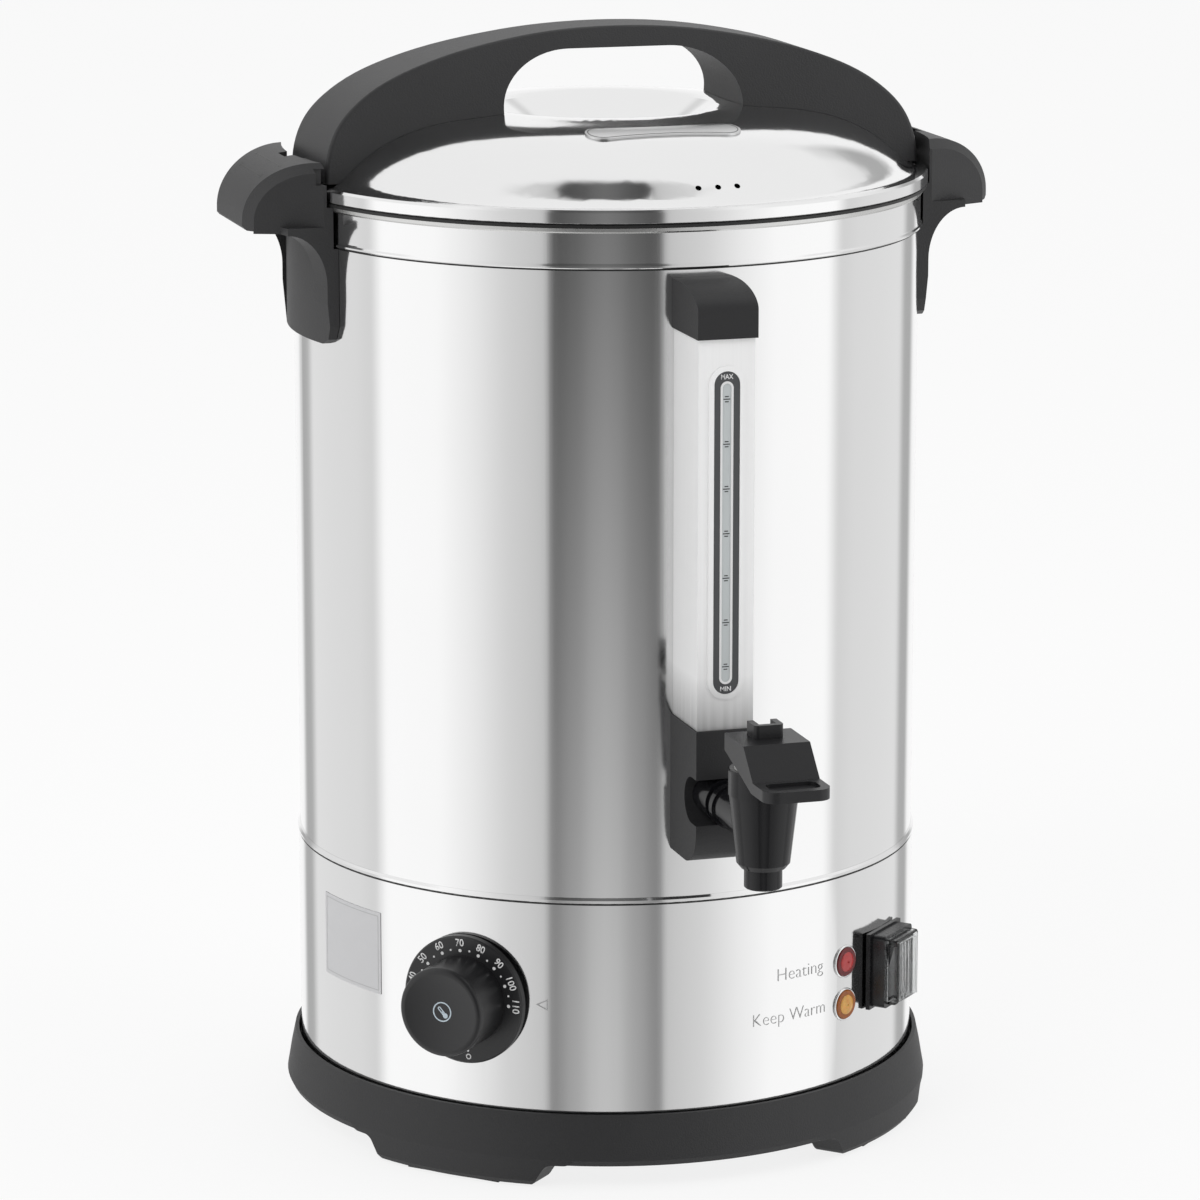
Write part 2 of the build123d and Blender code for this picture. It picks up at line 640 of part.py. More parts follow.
def lid_handle_screws():
    screws = []
    for x in bow_screws():
        seat = Z_DOME - TANK_SHEET - BOW_SCREW_FALL * DOME_H
        shank = disc(SCREW_R - EASE, seat - 1, Z_DOME + BOW_SCREW_GRIP - 1, x)
        screws.append(shank + disc(2 * SCREW_R, seat - 3, seat, x))
    return Compound(children=screws)


# ================================================================== side handles
def urn_envelope():
    """The urn's side as the handles meet it, with room for the turning lid."""
    clear = R_RIM + EASE
    flange = R_FLANGE + 0.9
    return turned(
        (0, 0), (BODY_R + EASE, 0), (BODY_R + EASE, Z_SHELL_TOP + 0.2), (clear, Z_SHELL_TOP + 0.2),
        (clear, Z_RIM_TOP - 0.3), (flange, Z_RIM_TOP - 0.3), (flange, BIG + 200), (0, BIG + 200))


def z_groove():
    return Z_FLANGE_TOP + TAB_LIFT


def z_wing():
    return z_groove() + TAB_T + 1.2 + LIP_T


def handle_screw_heights():
    z_under = z_wing() - WING_H
    return (z_under - 0.8 * LEG_DROP, z_under - 0.42 * LEG_DROP)


def wing():
    """Wing of the +X handle, before the urn and the pocket are cut from it."""
    tip_x = BODY_R + WING_REACH
    top = z_wing()
    under = top - WING_H
    arc_x = BODY_R + 1.5
    curve = EllipticalCenterArc((arc_x, under + TIP_H), tip_x - arc_x, WING_H - TIP_H, arc_size=90)
    root = Polyline(curve @ 1, (BODY_R - 12, top), (BODY_R - 12, under), (tip_x - 2.5, under), (tip_x, under + 2.5),
                    curve @ 0)
    solid = extrude(Plane.XZ * make_face([curve, root]), amount=60, both=True)
    plan = Polyline((BODY_R - 20, -WING_ROOT_W), (BODY_R, -WING_ROOT_W), (tip_x + 2, -WING_TIP_W),
                    (tip_x + 2, WING_TIP_W), (BODY_R, WING_ROOT_W), (BODY_R - 20, WING_ROOT_W), close=True)
    return solid & extrude(make_face(plan), amount=BIG + 200)


def leg():
    """Leg of the +X handle, turned about the urn's axis: two ribs beside a sunk panel."""
    under = z_wing() - WING_H
    r_leg, r_panel = BODY_R + LEG_T, BODY_R + PANEL_OUT
    foot = under - LEG_DROP
    hollow = EllipticalCenterArc((r_leg + GUSSET_OUT, under - GUSSET_H), GUSSET_OUT, GUSSET_H, 90, arc_size=90)
    rest = Polyline(hollow @ 1, (r_leg, foot + 18), (r_leg - 0.8, foot + 9), (r_panel, foot), (BODY_R - 5, foot),
                    (BODY_R - 5, under + 3), (r_leg + GUSSET_OUT, under + 3), hollow @ 0)
    body = revolve(Plane.XZ * make_face([hollow, rest]), Axis.Z)
    w, c = WING_ROOT_W, LEG_CORNER
    shape = Polyline((-w, foot + c), (-w + 0.3 * c, foot + 0.3 * c), (-w + c, foot), (w - c, foot),
                     (w - 0.3 * c, foot + 0.3 * c), (w, foot + c), (w, under + 3), (-w, under + 3), close=True)
    return body & extrude(Plane.YZ * make_face(shape), amount=BIG)


def finger_pocket():
    """Hollow under the wing, open downwards, which runs out over the leg's sunk panel."""
    under = z_wing() - WING_H
    foot = under - LEG_DROP
    arc_x = BODY_R + 1.5
    reach = WING_REACH - 1.5 - WALL
    rise = WING_H - TIP_H - WALL
    curve = EllipticalCenterArc((arc_x, under + TIP_H), reach, rise, arc_size=66)
    inner = curve @ 1
    r_lip = R_FLANGE + WALL
    back = Spline(inner, (r_lip + 1.5, z_groove() - 4), (r_lip, under + 7), (r_lip - 2, under))
    mouth = Polyline(back @ 1, (r_lip - 2, under - GUSSET_H), (arc_x + reach, under - GUSSET_H), curve @ 0)
    side = make_face([curve, back, mouth])
    pocket = extrude(Plane.XZ * side, amount=PANEL_HALF, both=True)
    sunk = tube(BODY_R + 60, BODY_R + PANEL_OUT, foot - 1, under + 1)
    return pocket + (sunk & block((0, BIG), (-PANEL_HALF, PANEL_HALF), (0, BIG + 100)))


def bayonet():
    """Entry slot, groove and flank notch for the +X tab, which turns towards +Y."""
    r_out = BODY_R + 2.1 + GROOVE_DEPTH
    ring = tube(r_out, R_TANK, z_groove() - 0.6, z_groove() + TAB_T + 1.0)
    start = degrees(asin((TAB_HALF + 1) / R_RIM))
    stop = start + TURN + 0.5
    notch = stop + 1.7
    groove = ring & wedge(90 - start, 90 + stop)
    mouth = ring & wedge(90 + notch, 90 + notch + 15)
    entry = block((R_TANK, r_out), (-TAB_HALF - 1, TAB_HALF + 1), (z_groove() - 0.6, BIG + 100))
    return groove + mouth + entry


def wedge(a_low, a_high):
    """Sector between two azimuths, for cutting rings."""
    points = [(BIG * sin(radians(a)), -BIG * cos(radians(a))) for a in (a_low, a_high)]
    return extrude(make_face(Polyline((0, 0), *points, close=True)), amount=BIG + 200)


def side_handle(turn):
    top = wing()
    edges = top.edges().filter_by(lambda e: e.center().Z > z_wing() - 0.75 * WING_H)
    edges = edges.filter_by(lambda e: abs(e.center().Y) > WING_TIP_W - 2)
    edges = edges.filter_by(lambda e: e.center().X > BODY_R + 1)
    top = chamfer(edges, WING_EDGE)
    handle = top + leg() - urn_envelope() - finger_pocket() - bayonet()
    for z in handle_screw_heights():
        handle -= peg(facing(90, BODY_R, z), HANDLE_SCREW_R, -5, SCREW_REACH)
    return Rot(0, 0, turn) * handle


def handle_screws():
    screws = []
    for azimuth in (90, 270):
        for z in handle_screw_heights():
            at = facing(azimuth, BODY_R, z)
            head = peg(at, HANDLE_SCREW_HEAD_R, -SHEET - 3.0, -SHEET - 0.9)
            screws.append(head + peg(at, HANDLE_SCREW_R - EASE, -SHEET - 1.2, SCREW_REACH - 0.4))
            washer = peg(at, HANDLE_SCREW_HEAD_R + 1, -SHEET - 0.9, 0) & disc(R_SHELL_IN - RUN, 0, BIG)
            screws[-1] += washer
    return screws


# ================================================================== gauge column
def d_front():
    return BODY_R + COLUMN_FRONT


def z_channel():
    return BLOCK_Z + BLOCK_H


def z_cap():
    return z_channel() + CHANNEL_H


def z_slot():
    return z_channel() + SLOT_FOOT + 0.5 * SLOT_H


def gauge_channel():
    low, high = z_channel() - TUCK, z_cap() + TUCK
    outer = block((-COLUMN_HALF, COLUMN_HALF), (-d_front(), -BODY_R + 4), (low, high))
    inner_half = COLUMN_HALF - CHANNEL_T
    inner = block((-inner_half, inner_half), (-d_front() + CHANNEL_T, 0), (low - 1, high + 1))
    face = facing(0, d_front(), z_slot())
    rim = slot(face, SLOT_W + 2 * SLOT_RIM, SLOT_H + 2 * SLOT_RIM, -0.2, RIM_T)
    channel = outer - inner + rim
    return channel - slot(face, SLOT_W, SLOT_H, -5, 5) - disc(BODY_R + RUN, 0, BIG + 100)


def gauge_bezel():
    face = facing(0, d_front(), z_slot())
    strip = slot(face, SLOT_W - 2 * EASE, SLOT_H - 2 * EASE, RIM_T - 0.3 - BEZEL_T, RIM_T - 0.3)
    flange = slot(face, SLOT_W + 2 * BEZEL_FLANGE, SLOT_H + 2 * BEZEL_FLANGE, -CHANNEL_T - 1.0, -CHANNEL_T)
    return strip + flange - slot(face, WINDOW_W, WINDOW_H, -5, 5)


def gauge_window():
    face = facing(0, d_front(), z_slot())
    return slot(face, WINDOW_W - 2 * RUN, WINDOW_H - 2 * RUN, RIM_T - 0.6 - WINDOW_T, RIM_T - 0.6)


def d_tube():
    return BODY_R + TUBE_OUT


def z_socket():
    return SHANK_Z + ELBOW_RISE


def sight_tube():
    low, high = z_socket() - 2, z_cap() + TUBE_TOP
    return disc(TUBE_R, low, high, 0, -d_tube()) - disc(TUBE_R - TUBE_WALL, low - 1, high + 1, 0, -d_tube())


def gauge_seals():
    """Rubber ring at the tube's foot and the vented plug at its top."""
    y = -d_tube()
    ring = disc(SOCKET_R - 0.8, z_socket() + 2, z_socket() + 7, 0, y) - disc(TUBE_R, 0, BIG, 0, y)
    z = z_cap() + 0.5 * TUBE_TOP
    plug = disc(TUBE_R + 2, z, z_cap() + TUBE_TOP + 1.5, 0, y) - disc(TUBE_R, 0, z_cap() + TUBE_TOP, 0, y)
    plug -= disc(1, 0, BIG + 100, 0, y)
    return Compound(children=[ring, plug])


def cap_prism(half, front, top, nose, drop, low):
    """Side view of the cap, flat behind and falling to the front in a quarter oval, given a width."""
    curve = EllipticalCenterArc((front - nose, top - drop), nose, drop, arc_size=90)
    side = make_face([curve, Polyline(curve @ 1, (0, top), (0, low), (front, low), curve @ 0)])
    plane = Plane(origin=(0, 0, 0), x_dir=(0, -1, 0), z_dir=(-1, 0, 0))
    return plane * extrude(side, amount=half, both=True)


def gauge_cap():
    front = d_front() + BLOCK_PROUD
    low, high = z_cap(), z_cap() + CAP_H
    wall = CASE_T + 1.2
    inner = BLOCK_HALF - CASE_T
    body = cap_prism(BLOCK_HALF, front, high, CAP_NOSE, CAP_ROUND, low)
    hollow = cap_prism(inner, front - wall, high - wall, CAP_NOSE - wall, CAP_ROUND - 1, low - 1)
    sleeve = column_sleeve(low - 1, low + TUCK + EASE)
    cap = body - hollow - sleeve
    y = -d_tube()
    web = block((-inner - 0.5, inner + 0.5), (y - 7.5, -BODY_R + 4), (low + 5, low + 8.5))
    cap += web - disc(TUBE_R + 2 + RUN, 0, BIG + 100, 0, y)
    for x, z in cap_screws():
        cap += ahead(3.2, BODY_R - 4, BODY_R + 13, z, x)
        cap += block((x - 1, x + 1), (-BODY_R - 13, -BODY_R + 4), (z, high - CASE_T))
    for x, z in cap_screws():
        cap -= ahead(1.4, 0, BODY_R + 11, z, x)
    return cap - disc(BODY_R + EASE, 0, BIG + 100)


def column_sleeve(low, high):
    """Room for the channel's end inside cap and block."""
    half = COLUMN_HALF + EASE
    return block((-half, half), (-d_front() - EASE, 0), (low, high))


def cap_screws():
    z = z_cap() + 0.5 * CAP_H
    return ((-6.5, z), (6.5, z))


def column_screws():
    screws = []
    for x, z in cap_screws():
        seat = wall_depth(R_SHELL_IN, x + (3 if x > 0 else -3)) - RUN
        head = ahead(2.6, seat - 2, seat, z, x)
        screws.append(head + ahead(1.3, seat - 1, BODY_R + 9, z, x))
    return screws


def tap_block():
    front = d_front() + BLOCK_PROUD
    low, high = BLOCK_Z, z_channel()
    body = block((-BLOCK_HALF, BLOCK_HALF), (-front, -BODY_R + 4), (low, high))
    toe = body.edges().filter_by(Axis.X).sort_by(lambda e: -e.center().Z - e.center().Y)[-1]
    body = fillet(toe, BLOCK_ROUND)
    inner = BLOCK_HALF - CASE_T
    hollow = block((-inner, inner), (-front + CASE_T + 1, 0), (low + CASE_T, high + 1))
    toe = hollow.edges().filter_by(Axis.X).sort_by(lambda e: -e.center().Z - e.center().Y)[-1]
    hollow = fillet(toe, BLOCK_ROUND - 3)
    trough_d = front - TROUGH_IN
    trough = across(TROUGH_R, BLOCK_HALF + 1, trough_d, SHANK_Z)
    trough += block((-BLOCK_HALF - 1, BLOCK_HALF + 1), (-front - 5, -trough_d),
                    (SHANK_Z - TROUGH_R, SHANK_Z + TROUGH_R))
    wall = TROUGH_R + CASE_T
    lining = across(wall, BLOCK_HALF, trough_d, SHANK_Z)
    lining += block((-BLOCK_HALF, BLOCK_HALF), (-front + 1, -trough_d), (SHANK_Z - wall, SHANK_Z + wall))
    sleeve = column_sleeve(high - TUCK - EASE, high + 1)
    body = body - (hollow - lining) - trough - sleeve
    return body - ahead(SHANK_R + EASE, 0, front + 5, SHANK_Z) - disc(BODY_R + EASE, 0, BIG + 100)


def gauge_elbow():
    """Banjo on the tap shank with a riser that turns forward and up into the tube's socket."""
    riser, tube_y = BODY_R + ELBOW_OUT, d_tube()
    turn_z = z_socket() - 3
    banjo = ahead(SHANK_R + 2.4, BODY_R - 3, riser + 6, SHANK_Z)
    body = banjo + disc(ELBOW_R, SHANK_Z, turn_z, 0, -riser)
    body += Pos(0, -riser, turn_z) * Sphere(ELBOW_R + 0.4)
    body += ahead(ELBOW_R, riser, tube_y, turn_z)
    body += disc(SOCKET_R, turn_z - 1, z_socket() + 8, 0, -tube_y)
    body -= ahead(SHANK_R + EASE, 0, BIG, SHANK_Z)
    body -= disc(ELBOW_BORE, SHANK_Z, turn_z + 2, 0, -riser)
    body -= ahead(ELBOW_BORE - 0.2, riser - 2, tube_y, turn_z)
    body -= disc(ELBOW_BORE, turn_z, BIG, 0, -tube_y)
    body -= disc(TUBE_R + RUN, z_socket() - 2, BIG, 0, -tube_y)
    body -= disc(SOCKET_R - 0.8 + RUN, z_socket() + 2, BIG, 0, -tube_y)
    return body - disc(BODY_R + 1.4, 0, BIG)


def tap_washers():
    """Rubber saddle washers inside the tank, between tank and shell, and behind the banjo."""
    r_out, r_in = SHANK_R + 4, SHANK_R + EASE
    ring = ahead(r_out, R_TANK_IN - 4, BODY_R + 8, SHANK_Z) - ahead(r_in, 0, BIG, SHANK_Z)
    inside = ring & disc(R_TANK_IN - RUN, 0, BIG)
    middle = (ring - disc(R_TANK + RUN, 0, BIG)) & disc(R_SHELL_IN - RUN, 0, BIG)
    behind = (ahead(SHANK_R + 2.3, BODY_R - 1, BODY_R + 2.4, SHANK_Z) - ahead(r_in, 0, BIG, SHANK_Z))
    behind = (behind - disc(BODY_R + RUN, 0, BIG)) & disc(BODY_R + 1.35, 0, BIG)
    return Compound(children=[inside, middle, behind])


def tap_nuts():
    """Hexagon nut inside the tank."""
    at = facing(0, R_TANK_IN - 10, SHANK_Z)
    nut = at * extrude(RegularPolygon(SHANK_R + 4.5, 6), amount=6)
    return nut - ahead(SHANK_R + RUN, 0, BIG, SHANK_Z)


def tap_shank():
    near, far = R_TANK_IN - 13, BODY_R + TAP_OUT - CONE_TOP_R + 1
    shank = ahead(SHANK_R, near, far, SHANK_Z) - ahead(SHANK_BORE, near - 1, far + 1, SHANK_Z)
    riser = BODY_R + ELBOW_OUT
    return shank - disc(ELBOW_BORE, SHANK_Z, SHANK_Z + 20, 0, -riser)


def tap_collar():
    """Round nut in the block's trough, with a stepped lock ring in front of it."""
    floor = d_front() + BLOCK_PROUD - TROUGH_IN - TROUGH_R
    front = d_front() + BLOCK_PROUD
    nut = ahead(COLLAR_R - 0.6, floor + 0.2, front + 1.6, SHANK_Z)
    ring = ahead(COLLAR_R - 2.2, front + 1.6, front + 4.4, SHANK_Z)
    seat = across(TROUGH_R - EASE, BLOCK_HALF, front - TROUGH_IN, SHANK_Z)
    seat += block((-BLOCK_HALF, BLOCK_HALF), (-BIG, TROUGH_IN - front), (0, BIG))
    return ((nut + ring) & seat) - ahead(SHANK_R + RUN, 0, BIG, SHANK_Z)


# ================================================================== tap
def d_tap():
    return BODY_R + TAP_OUT


def cone_foot():
    return CONE_TOP_Z - CONE_H


def tap_body():
    y = -d_tap()
    top, foot = CONE_TOP_Z, cone_foot()
    cone = revolve(
        Plane.XZ * make_face(Polyline(
            (0, foot - OUTLET_H), (OUTLET_R - 0.5, foot - OUTLET_H), (OUTLET_R, foot - OUTLET_H + 0.5),
            (OUTLET_R, foot), (CONE_FOOT_R - 1.8, foot), (CONE_FOOT_R, foot + 2.2), (CONE_TOP_R, top),
            (0, top), close=True)), Axis.Z)
    body = Pos(0, y, 0) * cone
    neck_start = d_front() + BLOCK_PROUD + 4.8
    body += ahead(NECK_R - 0.9, neck_start, d_tap(), SHANK_Z)
    body += ahead(NECK_R, neck_start + 1.2, neck_start + 5, SHANK_Z)
    body -= disc(CHAMBER_R, SEAT_Z, top + 1, 0, y)
    body -= disc(OUTLET_BORE, foot - OUTLET_H - 1, SEAT_Z + 1, 0, y)
    body -= ahead(SHANK_R + EASE, 0, d_tap() - CONE_TOP_R + 1.5, SHANK_Z)
    return body - ahead(SHANK_BORE, 0, d_tap(), SHANK_Z)


def tap_bonnet():
    y = -d_tap()
    top = CONE_TOP_Z + BONNET_H
    cap = disc(BONNET_R, CONE_TOP_Z, top, 0, y)
    cap = chamfer(cap.edges().group_by(Axis.Z)[-1], 0.6)
    plug = disc(CHAMBER_R - EASE, CONE_TOP_Z - 3, CONE_TOP_Z, 0, y)
    cup = disc(GLAND_R + EASE, top - 3, top + 1, 0, y)
    return cap + plug - cup - disc(STEM_R + 0.4, 0, BIG, 0, y)


def tap_gland():
    """Light grey dome in the bonnet, which carries the lever's pivot ear."""
    y = -d_tap()
    seat = CONE_TOP_Z + BONNET_H - 3
    dome = disc(GLAND_R, seat, seat + 3 + GLAND_H, 0, y)
    dome = fillet(dome.edges().group_by(Axis.Z)[-1], 0.9 * GLAND_H)
    ear_y = y - PIVOT_OUT
    ear_half = 7.0
    ear = Pos(0, ear_y, PIVOT_Z) * Rot(0, 90, 0) * Cylinder(PIVOT_R + 2, 2 * ear_half)
    foot = block((-ear_half, ear_half), (ear_y - 2, ear_y + PIVOT_R + 2), (seat, PIVOT_Z))
    foot &= disc(GLAND_R, 0, BIG, 0, y)
    body = dome + ear + foot
    return body - across(PIVOT_R, LEVER_HALF, -ear_y, PIVOT_Z) - disc(STEM_R + RUN, 0, BIG, 0, y)


def tap_pivot_pin():
    return across(PIVOT_R - 0.02, LEVER_HALF - 1.2, d_tap() + PIVOT_OUT, PIVOT_Z)


def tap_lift_pin():
    return across(PIVOT_R - 0.02, LEVER_HALF - 1.2, d_tap(), PIVOT_Z)


def tap_stem():
    """Stem with a flat eye that the lever's lift pin passes through."""
    y = -d_tap()
    seat_top = SEAT_Z + SEAT_T
    stem = disc(STEM_R, seat_top - 2.5, PIVOT_Z - 1, 0, y)
    stem += disc(SPRING_R + 0.8, seat_top, seat_top + 1.4, 0, y)
    eye = Pos(0, y, PIVOT_Z) * Rot(0, 90, 0) * Cylinder(PIVOT_R + 1.3, 5)
    hole = slot_across(PIVOT_R + 0.25, 1.4, y)
    return stem + eye - hole


def slot_across(r, spread, y):
    """Hole along X, stretched a little along Y for the lift pin's arc."""
    a = Pos(0, y - 0.5 * spread, PIVOT_Z) * Rot(0, 90, 0) * Cylinder(r, 30)
    b = Pos(0, y + 0.5 * spread, PIVOT_Z) * Rot(0, 90, 0) * Cylinder(r, 30)
    middle = block((-15, 15), (y - 0.5 * spread, y + 0.5 * spread), (PIVOT_Z - r, PIVOT_Z + r))
    return a + b + middle


def tap_seat():
    y = -d_tap()
    return disc(SEAT_R, SEAT_Z, SEAT_Z + SEAT_T, 0, y) - disc(STEM_R, SEAT_Z + SEAT_T - 2.5, BIG, 0, y)


def tap_spring():
    low = SEAT_Z + SEAT_T + 1.4 + SPRING_WIRE + RUN
    high = CONE_TOP_Z - 3 - SPRING_WIRE - RUN
    height = high - low
    coil = Helix(pitch=height / SPRING_TURNS, height=height, radius=SPRING_R - 1)
    wire = sweep(Plane(coil @ 0, z_dir=coil % 0) * Circle(SPRING_WIRE), path=coil)
    return Pos(0, -d_tap(), low) * wire


def lever_profile(drop, back=0.0):
    """Side view of the lever's top face: distance ahead of the stem, height over the pivot."""
    return [(-LEVER_BACK + back, LEVER_TOP - drop), (LEVER_FLAT, LEVER_TOP - drop),
            (LEVER_FLAT + LEVER_SLOPE, LEVER_TOP - LEVER_DROP - drop)]


def tap_lever():
    ahead_of = Plane(origin=(0, -d_tap(), PIVOT_Z), x_dir=(0, -1, 0), z_dir=(-1, 0, 0))
    upper = lever_profile(0)
    end = LEVER_FLAT + LEVER_SLOPE + PAD_L
    pad_z = LEVER_TOP - LEVER_DROP
    heel = (LEVER_FLAT + LEVER_SLOPE - 2, pad_z - PAD_THICK)
    cheek = make_face(Polyline(*upper, (end, pad_z), (end, pad_z - PAD_THICK), heel, (PIVOT_OUT, -4.0), (1, -1.6),
                               (-LEVER_BACK, 1.0), close=True))
    body = ahead_of * extrude(cheek, amount=LEVER_HALF, both=True)
    room = make_face(Polyline(*lever_profile(LEVER_T, -1), (LEVER_FLAT + LEVER_SLOPE - 1.8, pad_z - PAD_THICK - 1),
                              (-LEVER_BACK - 1, pad_z - PAD_THICK - 1), close=True))
    body -= ahead_of * extrude(room, amount=LEVER_HALF - LEVER_T, both=True)
    pad_corners = body.edges().filter_by(Axis.Z).sort_by(lambda e: -e.center().Y)[-2:]
    body = fillet(pad_corners, 6)
    dish = Pos(0, -(d_tap() + end - 0.5 * PAD_L - 0.3), PIVOT_Z + pad_z)
    thumb = extrude(RectangleRounded(2 * LEVER_HALF - 7, PAD_L - 6.5, 3), amount=4)
    body -= dish * Pos(0, 0, -1.5) * thumb
    body += lever_lock()
    for out in (0, PIVOT_OUT):
        bore = PIVOT_R - 0.02 if out == 0 else PIVOT_R + RUN - 0.02
        body -= across(bore, LEVER_HALF - 1.2, d_tap() + out, PIVOT_Z)
    return body


def lever_lock():
    """U-shaped upstand on the lever's top, open towards the urn."""
    z = PIVOT_Z + LEVER_TOP
    front, back = d_tap() + 6.8, d_tap() + 6.8 - LOCK_L
    outer = block((-LOCK_HALF, LOCK_HALF), (-front, -back), (z - 0.5, z + LOCK_H))
    half = LOCK_HALF - LOCK_T
    inner = block((-half, half), (-front + LOCK_T, -back + 1), (z - 1, z + LOCK_H + 1))
    corners = outer.edges().filter_by(Axis.Z).sort_by(Axis.Y)[:2]
    return fillet(corners, 2) - inner


# ================================================================== controls
def dial_plane():
    return facing(DIAL_AZIMUTH, R_HOUSING, CONTROL_Z)


def thermostat_knob():
    at = dial_plane()
    skirt = disc(DIAL_R, 0.6, 0.6 + DIAL_T)
    skirt = chamfer(skirt.edges().group_by(Axis.Z)[-1], 0.7)
    front = 0.6 + DIAL_T + KNOB_H
    grip = disc(KNOB_R, DIAL_T, front)
    grip = fillet(grip.edges().group_by(Axis.Z)[-1], 2.2)
    knob = skirt + grip
    sphere_r = ((KNOB_R - 2.6) ** 2 + KNOB_DISH ** 2) / (2 * KNOB_DISH)
    knob -= Pos(0, 0, front - KNOB_DISH + sphere_r) * Sphere(sphere_r)
    knob -= disc(KNOB_SHAFT_R + RUN, 0, front - 6)
    knob -= disc(KNOB_SHAFT_R + 3.2, 0, 7)
    return at * knob


def thermostat_shaft():
    top = 0.6 + DIAL_T + KNOB_H - 7
    return peg(dial_plane(), KNOB_SHAFT_R, -6, top)


def thermostat_body():
    at = dial_plane()
    half = 0.5 * THERMOSTAT_W
    back = -SHEET - 2.4
    case = slab(at, half, half, back - THERMOSTAT_D, back)
    case += peg(at, KNOB_SHAFT_R + 2, back - 1, 3)
    stub = slab(at, 4, 4, back - THERMOSTAT_D - 5, back - THERMOSTAT_D + 1, 0, 10)
    return case + stub - peg(at, KNOB_SHAFT_R + RUN, -6.5, 10)


def dial_screws():
    at = dial_plane()
    screws = []
    for side in (-1, 1):
        x = 14 * side
        face = wall_depth(R_HOUSING, 17) - R_HOUSING
        pin = peg(at, 1.5, -SHEET - 2.3, face + 0.4, x)
        spacer = peg(at, 3, -SHEET - 2.35, 0, x) & disc(R_HOUSING_IN - RUN, 0, BIG)
        screws.append(pin + spacer)
    return screws


def lamp_heights():
    return (LAMP_Z, LAMP_Z + LAMP_PITCH)


def lamp(height):
    at = facing(LAMP_AZIMUTH, R_HOUSING, height)
    lens = disc(LAMP_R, 0.1, LAMP_T)
    lens = fillet(lens.edges().group_by(Axis.Z)[-1], 0.6)
    stem = disc(LAMP_HOLE_R, -6, 0.2)
    return at * (lens + stem)


def lamp_holders():
    holders = []
    for height in lamp_heights():
        at = facing(LAMP_AZIMUTH, R_HOUSING, height)
        clip = peg(at, LAMP_HOLE_R + 2.4, -6, -1.4) - peg(at, LAMP_HOLE_R + RUN, -7, 0)
        barrel = peg(at, LAMP_HOLE_R + 1, -LAMP_DEPTH, -6)
        leads = [slab(at, 0.4, 1.5, -LAMP_DEPTH - 6, -LAMP_DEPTH + 1, x) for x in (-2.5, 2.5)]
        holders.append(clip + barrel + leads[0] + leads[1])
    return Compound(children=holders)


def switch_plane():
    return facing(SWITCH_AZIMUTH, R_HOUSING, SWITCH_Z)


def switch_frame():
    at = switch_plane()
    half_w, half_h = 0.5 * SWITCH_W, 0.5 * SWITCH_H
    lip = slab(at, half_w + 1.6, half_h + 0.8, 0.1, SWITCH_LIP)
    front = slab(at, half_w, half_h, SWITCH_LIP - 0.5, SWITCH_OUT)
    front = fillet(front.edges().filter_by(lambda e: abs(e.length - SWITCH_OUT + SWITCH_LIP - 0.5) < 0.01), 2)
    rear = slab(at, half_w - 1.2, half_h - 2.2, -SWITCH_IN, 1)
    cavity = slab(at, 0.5 * ROCKER_W + 0.5, 0.5 * ROCKER_H + 1.6, -5, SWITCH_OUT + 1)
    frame = lip + front + rear - cavity
    side = Rot(0, 90, 0) * Cylinder(1.6, ROCKER_W + 4)
    return frame - at * Pos(0, 0, 3) * side


def switch_rocker():
    """Two-faced rocker, lower end pressed in; it turns about a level pin."""
    half = 0.5 * ROCKER_H
    face = Polyline((-half, 5.9), (0, 4.4), (half, 5.9), (half - 0.6, 2), (0.5 * half, -3.5), (-0.5 * half, -3.5),
                    (-half + 0.6, 2), close=True)
    profile = Plane(origin=(0, 0, 0), x_dir=(0, 1, 0), z_dir=(1, 0, 0)) * make_face(face)
    body = extrude(profile, amount=0.5 * ROCKER_W, both=True)
    body += Rot(0, 90, 0) * Cylinder(1.6 - RUN, ROCKER_W + 3)
    return switch_plane() * Pos(0, 0, 3) * Rot(ROCKER_TILT, 0, 0) * body


def switch_cover():
    """Clear ribbed cover over the rocker."""
    at = switch_plane()
    half_w, half_h = 0.5 * ROCKER_W + 2.2, 0.5 * ROCKER_H + 2.4
    outer = block((-half_w, half_w), (-half_h, half_h), (SWITCH_OUT, SWITCH_OUT + COVER_OUT))
    outer = fillet(outer.edges().group_by(Axis.Z)[-1], 2)
    inner = block((-half_w + COVER_T, half_w - COVER_T), (-half_h + COVER_T, half_h - COVER_T),
                  (SWITCH_OUT - 1, SWITCH_OUT + COVER_OUT - COVER_T))
    cover = outer - inner
    top = SWITCH_OUT + COVER_OUT
    for x in (-6, -3, 0, 3, 6):
        cover += block((x - 0.5, x + 0.5), (-half_h + 2, half_h - 2), (top - 0.4, top + 0.4))
    return at * cover


def switch_terminals():
    at = switch_plane()
    tabs = [slab(at, 3.1, 0.4, -SWITCH_IN - 8, -SWITCH_IN, x, y) for x in (-5, 5) for y in (-8, 8)]
    return Compound(children=tabs)


def inlet_plane():
    return facing(180, R_HOUSING, INLET_Z)


